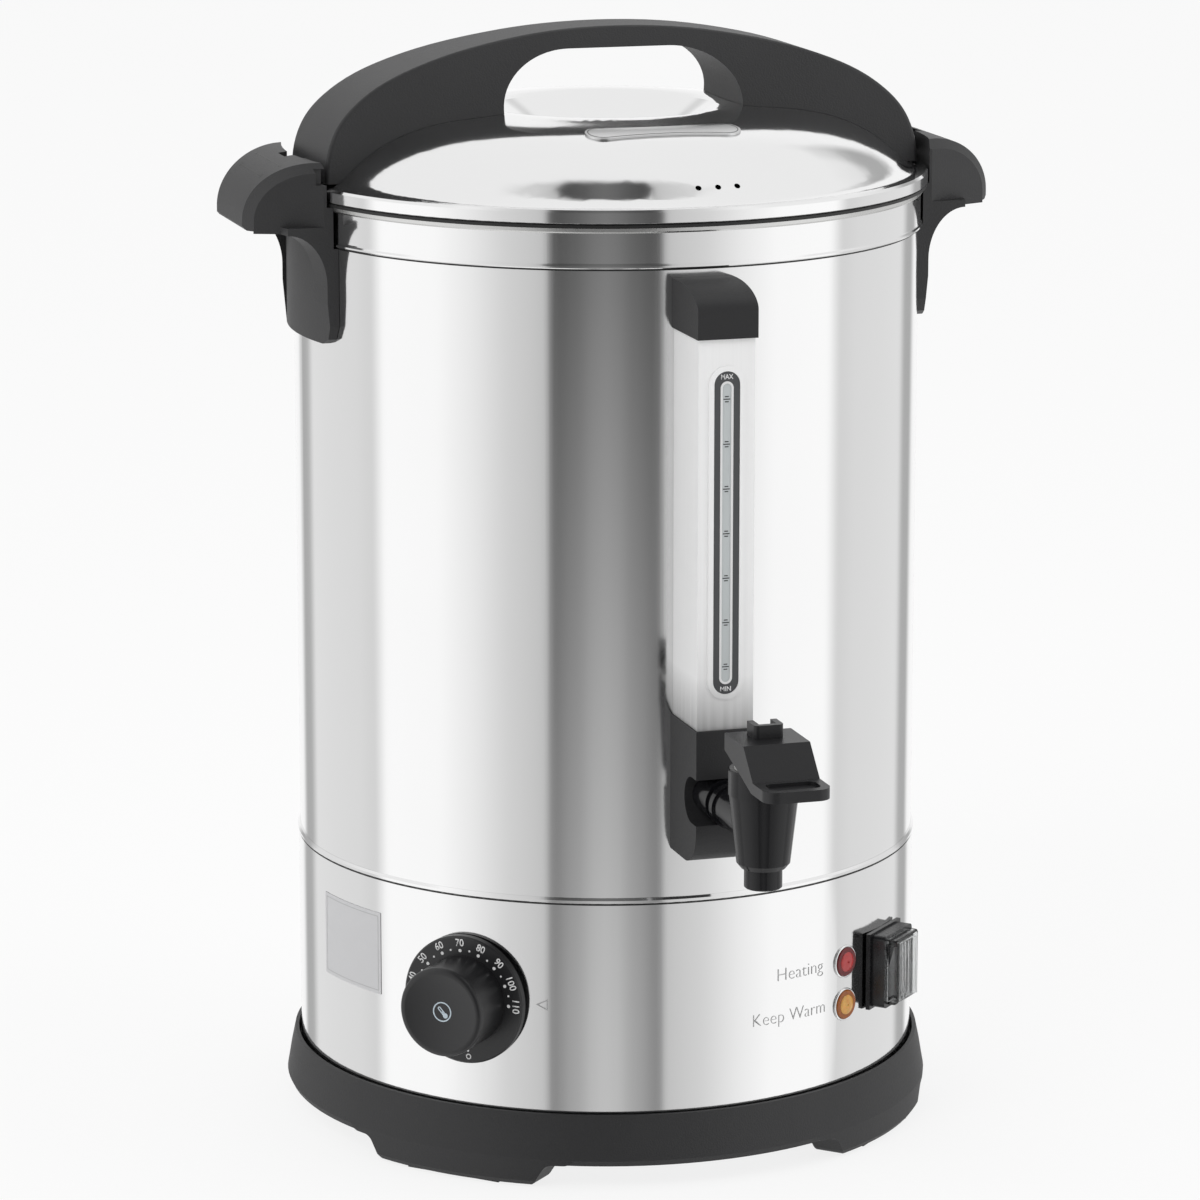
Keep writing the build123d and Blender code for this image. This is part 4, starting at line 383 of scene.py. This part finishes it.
def make_floor():
    data = bpy.data.meshes.new("floor")
    half = FLOOR_HALF
    corners = [(-half, -half, 0), (half, -half, 0), (half, half, 0), (-half, half, 0)]
    data.from_pydata(corners, [], [(0, 1, 2, 3)])
    floor = bpy.data.objects.new("floor", data)
    floor.location.z = -FLOOR_DROP
    bpy.context.scene.collection.objects.link(floor)
    mat = bpy.data.materials.new("floor_pale")
    mat.use_nodes = True
    nt = mat.node_tree
    nt.nodes.clear()
    new, link = nt.nodes.new, nt.links.new
    out = new("ShaderNodeOutputMaterial")
    pale = new("ShaderNodeBsdfDiffuse")
    pale.inputs["Color"].default_value = (FLOOR_TONE, FLOOR_TONE, FLOOR_TONE, 1)
    white = new("ShaderNodeEmission")
    white.inputs["Strength"].default_value = 1.0
    path = new("ShaderNodeLightPath")
    share = new("ShaderNodeMath")
    share.operation = "MULTIPLY"
    share.inputs[1].default_value = FLOOR_GLOW
    link(path.outputs["Is Camera Ray"], share.inputs[0])
    pick = new("ShaderNodeMixShader")
    link(share.outputs[0], pick.inputs[0])
    link(pale.outputs[0], pick.inputs[1])
    link(white.outputs[0], pick.inputs[2])
    link(pick.outputs[0], out.inputs["Surface"])
    data.materials.append(mat)
    floor.visible_glossy = False


make_floor()


def softbox(name, spot, aim, size, power):
    data = bpy.data.lights.new(name, "AREA")
    data.shape = "RECTANGLE"
    data.size, data.size_y = size
    data.energy = power
    lamp = bpy.data.objects.new(name, data)
    lamp.location = spot
    lamp.rotation_euler = (Vector(aim) - Vector(spot)).to_track_quat("-Z", "Y").to_euler()
    bpy.context.scene.collection.objects.link(lamp)
    lamp.visible_glossy = False


softbox("key", (-1.8, -1.6, 2.4), (0, 0, 0.25), (1.4, 1.4), 26)
softbox("fill", (2.2, -1.2, 1.6), (0, 0, 0.25), (1.6, 1.6), 12)

view = bpy.context.scene.view_settings
view.view_transform = "Standard"


# ---------------------------------------------------------------- pieces
def new_object(name, data, body, mat):
    obj = bpy.data.objects.new(name, data)
    bpy.context.scene.collection.objects.link(obj)
    paint(obj, mat)
    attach(obj, body)
    return obj


def side_matrix(azimuth, radius, height):
    """Place on the urn's side: x to the right seen from outside, y up, z outward; millimetres in."""
    a = math.radians(azimuth)
    out = Vector((math.sin(a), -math.cos(a), 0))
    right = Vector((math.cos(a), math.sin(a), 0))
    m = Matrix((right, Vector((0, 0, 1)), out)).transposed().to_4x4()
    return Matrix.Translation(out * radius * MM + Vector((0, 0, height * MM))) @ m


def text_data(words, width, height, thick=0.06, weight=0.0):
    """Mesh of a line of text, centred and drawn to a given width and height in millimetres."""
    curve = bpy.data.curves.new("words", "FONT")
    curve.body = words
    curve.size = 1.0
    curve.offset = weight
    curve.resolution_u = 5
    holder = bpy.data.objects.new("words", curve)
    bpy.context.scene.collection.objects.link(holder)
    bpy.context.view_layer.update()
    deps = bpy.context.evaluated_depsgraph_get()
    flat = bpy.data.meshes.new_from_object(holder.evaluated_get(deps))
    bpy.data.objects.remove(holder)
    bpy.data.curves.remove(curve)
    xs = [v.co.x for v in flat.vertices]
    ys = [v.co.y for v in flat.vertices]
    mid_x, mid_y = (min(xs) + max(xs)) / 2, (min(ys) + max(ys)) / 2
    wide, tall = width / (max(xs) - min(xs)), height / (max(ys) - min(ys))
    for v in flat.vertices:
        v.co = ((v.co.x - mid_x) * wide, (v.co.y - mid_y) * tall, 0)
    return thicken(flat, thick)


def thicken(data, thick):
    """Closed thin plate from a flat mesh in the plane z 0."""
    bm = bmesh.new()
    bm.from_mesh(data)
    bmesh.ops.remove_doubles(bm, verts=bm.verts, dist=1e-5)
    grown = bmesh.ops.extrude_face_region(bm, geom=bm.faces[:])
    for v in grown["geom"]:
        if isinstance(v, bmesh.types.BMVert):
            v.co.z += thick
    bmesh.ops.recalc_face_normals(bm, faces=bm.faces[:])
    bm.to_mesh(data)
    bm.free()
    return data


def strip_data(x0, x1, y0, y1, thick, columns):
    """Flat rectangular plate cut into upright columns, so that it can be bent."""
    n = columns + 1
    xs = [x0 + (x1 - x0) * i / columns for i in range(n)]
    verts = [(x, y, z) for z in (0, thick) for y in (y0, y1) for x in xs]
    faces = []
    for i in range(columns):
        a, b, c, d = i, i + 1, n + i + 1, n + i
        faces.append((d, c, b, a))
        faces.append((2 * n + a, 2 * n + b, 2 * n + c, 2 * n + d))
        faces.append((a, b, 2 * n + b, 2 * n + a))
        faces.append((c, d, 2 * n + d, 2 * n + c))
    faces.append((n, 0, 2 * n, 3 * n))
    faces.append((n - 1, 2 * n - 1, 4 * n - 1, 3 * n - 1))
    data = bpy.data.meshes.new("strip")
    data.from_pydata(verts, [], faces)
    return data


def laid(data, matrix, node, lift):
    """Drops a flat mesh, given in millimetres before the matrix, on a node's surface from outside."""
    target = nodes[node]
    surface = BVHTree.FromPolygons([target.matrix_world @ v.co for v in target.data.vertices],
                                   [tuple(p.vertices) for p in target.data.polygons])
    inward = -(matrix.to_3x3() @ Vector((0, 0, 1))).normalized()
    for v in data.vertices:
        base = matrix @ Vector((v.co.x, v.co.y, 0))
        hit = surface.ray_cast(base - inward * 0.03, inward, 0.08)
        spot = hit[0] if hit[0] is not None else base
        v.co = spot - inward * (lift + v.co.z) * MM
    return data


def raised(data, lift):
    for v in data.vertices:
        v.co.z += lift
    return data


def merge(name, parts):
    """One mesh from (mesh, matrix) pairs, whose units are millimetres before the matrix."""
    bm = bmesh.new()
    for data, matrix in parts:
        part = data.copy()
        part.transform(matrix)
        bm.from_mesh(part)
        bpy.data.meshes.remove(part)
    data = bpy.data.meshes.new(name)
    bm.to_mesh(data)
    bm.free()
    return data


def prism_data(outline, thick):
    """Closed prism from a flat outline, from z 0 to its thickness."""
    n = len(outline)
    verts = [(x, y, 0) for x, y in outline] + [(x, y, thick) for x, y in outline]
    faces = [tuple(range(n))[::-1], tuple(range(n, 2 * n))]
    faces += [(i, (i + 1) % n, n + (i + 1) % n, n + i) for i in range(n)]
    data = bpy.data.meshes.new("prism")
    data.from_pydata(verts, [], faces)
    return data


def loop_data(inner, outer, thick):
    """Closed flat band between two outlines of equal length."""
    n = len(inner)
    verts = [(x, y, z) for z in (0, thick) for ring in (inner, outer) for x, y in ring]
    faces = []
    for i in range(n):
        j = (i + 1) % n
        a, b, c, d = i, j, n + j, n + i
        faces.append((a, b, c, d)[::-1])
        faces.append((2 * n + a, 2 * n + b, 2 * n + c, 2 * n + d))
        faces.append((a, b, 2 * n + b, 2 * n + a)[::-1])
        faces.append((d, c, 2 * n + c, 2 * n + d))
    data = bpy.data.meshes.new("band")
    data.from_pydata(verts, [], faces)
    return data


def circle(r, n=48, x=0.0, y=0.0):
    return [(x + r * math.cos(2 * math.pi * i / n), y + r * math.sin(2 * math.pi * i / n)) for i in range(n)]


def capsule(width, height, n=16):
    """Outline of an upright slot."""
    r = width / 2
    half = height / 2 - r
    top = [(r * math.cos(math.pi * i / n), half + r * math.sin(math.pi * i / n)) for i in range(n + 1)]
    low = [(-x, -y) for x, y in top]
    return top + low


def bar(x0, y0, x1, y1, w):
    """Outline of a straight stroke."""
    d = Vector((x1 - x0, y1 - y0)).normalized() * w / 2
    return [(x0 + d.y, y0 - d.x), (x1 + d.y, y1 - d.x), (x1 - d.y, y1 + d.x), (x0 - d.y, y0 + d.x)]


UNIT = Matrix.Scale(MM, 4)
FLAT = Matrix.Identity(4)


def lathe_data(profile, n=64):
    """Ring turned from (radius, height) corners that run round a closed section."""
    k = len(profile)
    verts = [(r * math.cos(2 * math.pi * i / n), r * math.sin(2 * math.pi * i / n), z)
             for i in range(n) for r, z in profile]
    faces = [(i * k + j, ((i + 1) % n) * k + j, ((i + 1) % n) * k + (j + 1) % k, i * k + (j + 1) % k)
             for i in range(n) for j in range(k)]
    data = bpy.data.meshes.new("ring")
    data.from_pydata(verts, [], faces)
    for p in data.polygons:
        p.use_smooth = True
    return data


def wrap(data, radius):
    """Bends a flat mesh in a side plane's own axes round the urn, in millimetres."""
    for v in data.vertices:
        x, y, z = v.co
        a = x / radius
        v.co = ((radius + z) * math.sin(a), y, (radius + z) * math.cos(a) - radius)
    return data


# ---------------------------------------------------------------- dial
HOUSING_R, HOUSING_LIFT = 135.4, 0.08
DIAL_AZIMUTH, DIAL_Z = -42.5, 78.5
DIAL_FACE = 4.0
DIAL_NUMBERS = (110, 100, 90, 80, 70, 60, 50, 40)
DIAL_STEP = 23.3
OFF_MARK = -84
NUMBER_R, TICK_R, HALF_TICK_R, OFF_TICK_R, OFF_RING_R = 24.9, 21.5, 21.9, 22.0, 24.6
dial = side_matrix(DIAL_AZIMUTH, HOUSING_R, DIAL_Z) @ UNIT


def on_ring(radius, angle, lift):
    """Place on the dial's ring, upright as seen from the rim."""
    spot = Matrix.Rotation(math.radians(angle), 4, "Z") @ Matrix.Translation((radius, 0, lift))
    return spot @ Matrix.Rotation(math.radians(-90), 4, "Z")


def make_dial_print():
    parts = []
    for i, number in enumerate(DIAL_NUMBERS):
        angle = i * DIAL_STEP
        width = 5.6 if number > 99 else 3.9
        figure = text_data(str(number), width, 3.3, weight=0.016)
        parts.append((figure, dial @ on_ring(NUMBER_R, angle, DIAL_FACE)))
        parts.append((prism_data(circle(0.72, 20), 0.06), dial @ on_ring(TICK_R, angle, DIAL_FACE)))
        if i:
            middle = angle - DIAL_STEP / 2
            parts.append((prism_data(circle(0.46, 16), 0.06), dial @ on_ring(HALF_TICK_R, middle, DIAL_FACE)))
    off_ring = loop_data(circle(0.75, 20), circle(1.25, 20), 0.06)
    parts.append((prism_data(circle(0.6, 20), 0.06), dial @ on_ring(OFF_TICK_R, OFF_MARK, DIAL_FACE)))
    parts.append((off_ring, dial @ on_ring(OFF_RING_R, OFF_MARK, DIAL_FACE)))
    new_object("dial_print", merge("dial_print", parts), "knob", PRINT_WHITE)


def make_knob_icon():
    """Ring with a leaning thermometer, on the knob's dished front."""
    lean = Matrix.Rotation(math.radians(43), 4, "Z")
    stem = loop_data([(x * 0.36, y * 0.86) for x, y in capsule(1.5, 5.4)], capsule(1.5, 5.4), 0.05)
    bulb = prism_data(circle(1.15, 24, 0, -2.1), 0.05)
    thread = prism_data([(x, y - 1.0) for x, y in capsule(0.36, 2.6, 6)], 0.05)
    parts = [(loop_data(circle(3.75), circle(4.3), 0.05), FLAT), (stem, lean), (bulb, lean), (thread, lean)]
    front = dial @ Matrix.Translation((0, 0, DIAL_FACE))
    data = laid(merge("knob_icon", parts), front, "thermostat_knob", 0.05)
    new_object("knob_icon", data, "knob", PRINT_ICE)


# ---------------------------------------------------------------- gauge
GAUGE_FRONT = 167.0
BEZEL_FRONT = 167.3
WINDOW_LOW, WINDOW_HIGH, WINDOW_W = 223.1, 348.5, 5.6
MARKS = 7
MARK_LOW, MARK_HIGH = 230.4, 341.1
MARK_LINES = ((1.05, 0.8), (0.0, 1.45), (-1.05, 0.8))
MARK_WEIGHT = 0.42
WORD_GAP = 1.85


def make_gauge_print():
    middle = (WINDOW_LOW + WINDOW_HIGH) / 2
    tall = WINDOW_HIGH - WINDOW_LOW
    at = side_matrix(0, GAUGE_FRONT, middle) @ UNIT
    rim = loop_data(capsule(WINDOW_W - 1.9, tall - 1.9), capsule(WINDOW_W - 0.1, tall - 0.1), 0.36)
    high = side_matrix(0, BEZEL_FRONT, WINDOW_HIGH + WORD_GAP) @ UNIT
    low = side_matrix(0, BEZEL_FRONT, WINDOW_LOW - WORD_GAP) @ UNIT
    parts = [(rim, at), (text_data("MAX", 5.2, 2.0, weight=0.02), high),
             (text_data("MIN", 4.6, 2.0, weight=0.02), low)]
    new_object("gauge_outline", merge("gauge_outline", parts), "urn", PRINT_WHITE)
    lines = []
    for i in range(MARKS):
        z = MARK_LOW + (MARK_HIGH - MARK_LOW) * i / (MARKS - 1)
        for lift, half in MARK_LINES:
            place = side_matrix(0, GAUGE_FRONT, z + lift) @ UNIT
            lines.append((prism_data(bar(-half, 0, half, 0, MARK_WEIGHT), 0.05), place))
    new_object("gauge_marks", merge("gauge_marks", lines), "urn", PRINT_AND_SHADE_BLACK)


# ---------------------------------------------------------------- marks on the housing
LABEL_AZIMUTH, LABEL_Z, LABEL_W, LABEL_H = -71.0, 89.8, 43.0, 36.0
LABEL_T, LABEL_EDGE, LABEL_LINE, LABEL_BENDS = 0.12, 1.5, 0.25, 24
WORDS = (("Heating", 20.8, 84.9, 25.0, 7.1), ("Keep Warm", 18.5, 66.6, 38.3, 7.0))


def make_label():
    at = side_matrix(LABEL_AZIMUTH, HOUSING_R, LABEL_Z) @ UNIT
    half_w, half_h = LABEL_W / 2, LABEL_H / 2
    sheet = raised(strip_data(-half_w, half_w, -half_h, half_h, LABEL_T, LABEL_BENDS), HOUSING_LIFT)
    new_object("side_label", merge("side_label", [(wrap(sheet, HOUSING_R), at)]), "urn", LABEL)
    parts = []
    inner, outer = LABEL_EDGE + LABEL_LINE, LABEL_EDGE
    for x0, x1, y0, y1, columns in (
            (outer, LABEL_W - outer, outer, inner, LABEL_BENDS),
            (outer, LABEL_W - outer, LABEL_H - inner, LABEL_H - outer, LABEL_BENDS),
            (outer, inner, inner, LABEL_H - inner, 1),
            (LABEL_W - inner, LABEL_W - outer, inner, LABEL_H - inner, 1)):
        piece = strip_data(x0 - half_w, x1 - half_w, y0 - half_h, y1 - half_h, 0.05, columns)
        parts.append((wrap(raised(piece, HOUSING_LIFT + LABEL_T), HOUSING_R), at))
    new_object("label_border", merge("label_border", parts), "urn", PRINT_GREY)


def make_pointer():
    """Hollow triangle whose point looks at the dial."""
    outer = [(30.9, 0.0), (35.9, -2.5), (35.9, 2.5)]
    inner = [(31.95, 0.0), (35.45, -1.75), (35.45, 1.75)]
    data = wrap(raised(loop_data(inner, outer, 0.06), HOUSING_LIFT), HOUSING_R)
    new_object("pointer_mark", merge("pointer_mark", [(data, dial)]), "urn", PRINT_GREY)


def make_words():
    parts = []
    for words, azimuth, z, width, height in WORDS:
        data = raised(text_data(words, width, height, weight=-0.022), HOUSING_LIFT)
        parts.append((wrap(data, HOUSING_R), side_matrix(azimuth, HOUSING_R, z) @ UNIT))
    new_object("lamp_words", merge("lamp_words", parts), "urn", PRINT_WORDS)


# ---------------------------------------------------------------- lamps and switch
LAMP_AZIMUTH, LAMP_RADIUS, LAMP_PROUD = 32.0, 6.3, 1.4
RING_PROFILE = ((0.05, 0.0), (0.95, 0.0), (0.8, 0.55), (0.35, 0.8), (0.05, 0.6))
EYE_R, EYE_RISE = 4.3, 0.85
LAMPS = (("red", 84.5, RED_EYE), ("amber", 65.5, AMBER_EYE))
SWITCH_AZIMUTH, SWITCH_Z = 44.5, 76.5


def make_lamps():
    rings = []
    for name, z, eye in LAMPS:
        at = side_matrix(LAMP_AZIMUTH, HOUSING_R, z) @ UNIT
        ring = [(LAMP_RADIUS + out, up) for out, up in RING_PROFILE]
        rings.append((lathe_data(ring, 56), at))
        steps = [math.radians(15 * i) for i in range(6)]
        dome = [(EYE_R * math.cos(a), EYE_RISE * math.sin(a)) for a in steps]
        shell = lathe_data(dome + [(0.3, EYE_RISE + 0.01), (0.3, -0.05), (EYE_R, -0.05)], 48)
        data = merge(f"lamp_eye_{name}", [(shell, at @ Matrix.Translation((0, 0, LAMP_PROUD)))])
        new_object(f"lamp_eye_{name}", data, "urn", eye)
    new_object("lamp_rings", merge("lamp_rings", rings), "urn", RING)


def make_switch_marks():
    at = side_matrix(SWITCH_AZIMUTH, HOUSING_R, SWITCH_Z) @ UNIT
    nought = loop_data([(x * 0.75, y - 6.2) for x, y in circle(1.45, 32)],
                       [(x * 0.82, y - 6.2) for x, y in circle(2.1, 32)], 0.05)
    stroke = prism_data(bar(0, 4.4, 0, 8.0, 0.6), 0.05)
    data = laid(merge("switch_marks", [(nought, FLAT), (stroke, FLAT)]), at, "switch_rocker", 0.04)
    new_object("switch_marks", data, "rocker", PRINT_WHITE)


# ---------------------------------------------------------------- lid and side handles
BADGE_AT = 81.16
BORDER_L, BORDER_W, BORDER_LINE = 65.0, 14.0, 0.6
TOP_OF_ALL = 0.45
GRIP_LINES = ((149.0, 20.0), (156.5, 17.0))


def make_badge_border():
    down = Matrix.Translation((0, -BADGE_AT * MM, TOP_OF_ALL)) @ UNIT
    inner = [(y, x) for x, y in capsule(BORDER_W - BORDER_LINE, BORDER_L - BORDER_LINE, 20)]
    outer = [(y, x) for x, y in capsule(BORDER_W, BORDER_L, 20)]
    band = loop_data(inner, outer, 0.04)
    bm = bmesh.new()
    bm.from_mesh(band)
    bmesh.ops.subdivide_edges(bm, edges=[e for e in bm.edges if e.calc_length() > 4], cuts=16)
    bm.to_mesh(band)
    bm.free()
    data = laid(band, down, "lid_badge", 0.03)
    new_object("badge_border", data, "lid", PRINT_AND_SHADE_BLACK)


def make_grip_lines():
    """Two fine moulded lines across each wing, with a dot at each end."""
    for side, node in ((1, "side_handle_right"), (-1, "side_handle_left")):
        parts = []
        for out, half in GRIP_LINES:
            down = Matrix.Translation((side * out * MM, 0, TOP_OF_ALL)) @ UNIT
            line = strip_data(-half, half, -0.22, 0.22, 0.05, 12)
            turn = Matrix.Rotation(math.radians(90), 4, "Z")
            parts.append((laid(line, down @ turn, node, 0.02), FLAT))
            for end in (-1, 1):
                dot = prism_data(circle(0.85, 16, end * (half + 1.6), 0), 0.05)
                parts.append((laid(dot, down @ turn, node, 0.02), FLAT))
        name = f"grip_lines_{node.split('_')[-1]}"
        new_object(name, merge(name, parts), "urn", PRINT_AND_SHADE_BLACK)


def make_seam_lines():
    """Painted shade: dark lines in the joints under the rim collar and under the step, standing in for the
    shadow there.
    """
    groove = lathe_data([(134.05, 389.35), (134.6, 389.35), (134.6, 390.15), (134.05, 390.15)], 160)
    step = lathe_data([(135.3, 122.3), (135.55, 122.3), (135.55, 122.75), (135.3, 122.75)], 160)
    data = merge("painted_shade_lines", [(groove, UNIT), (step, UNIT)])
    new_object("painted_shade_lines", data, "urn", PRINT_AND_SHADE_BLACK)


make_dial_print()
make_knob_icon()
make_gauge_print()
make_label()
make_pointer()
make_words()
make_lamps()
make_switch_marks()
make_badge_border()
make_grip_lines()
make_seam_lines()
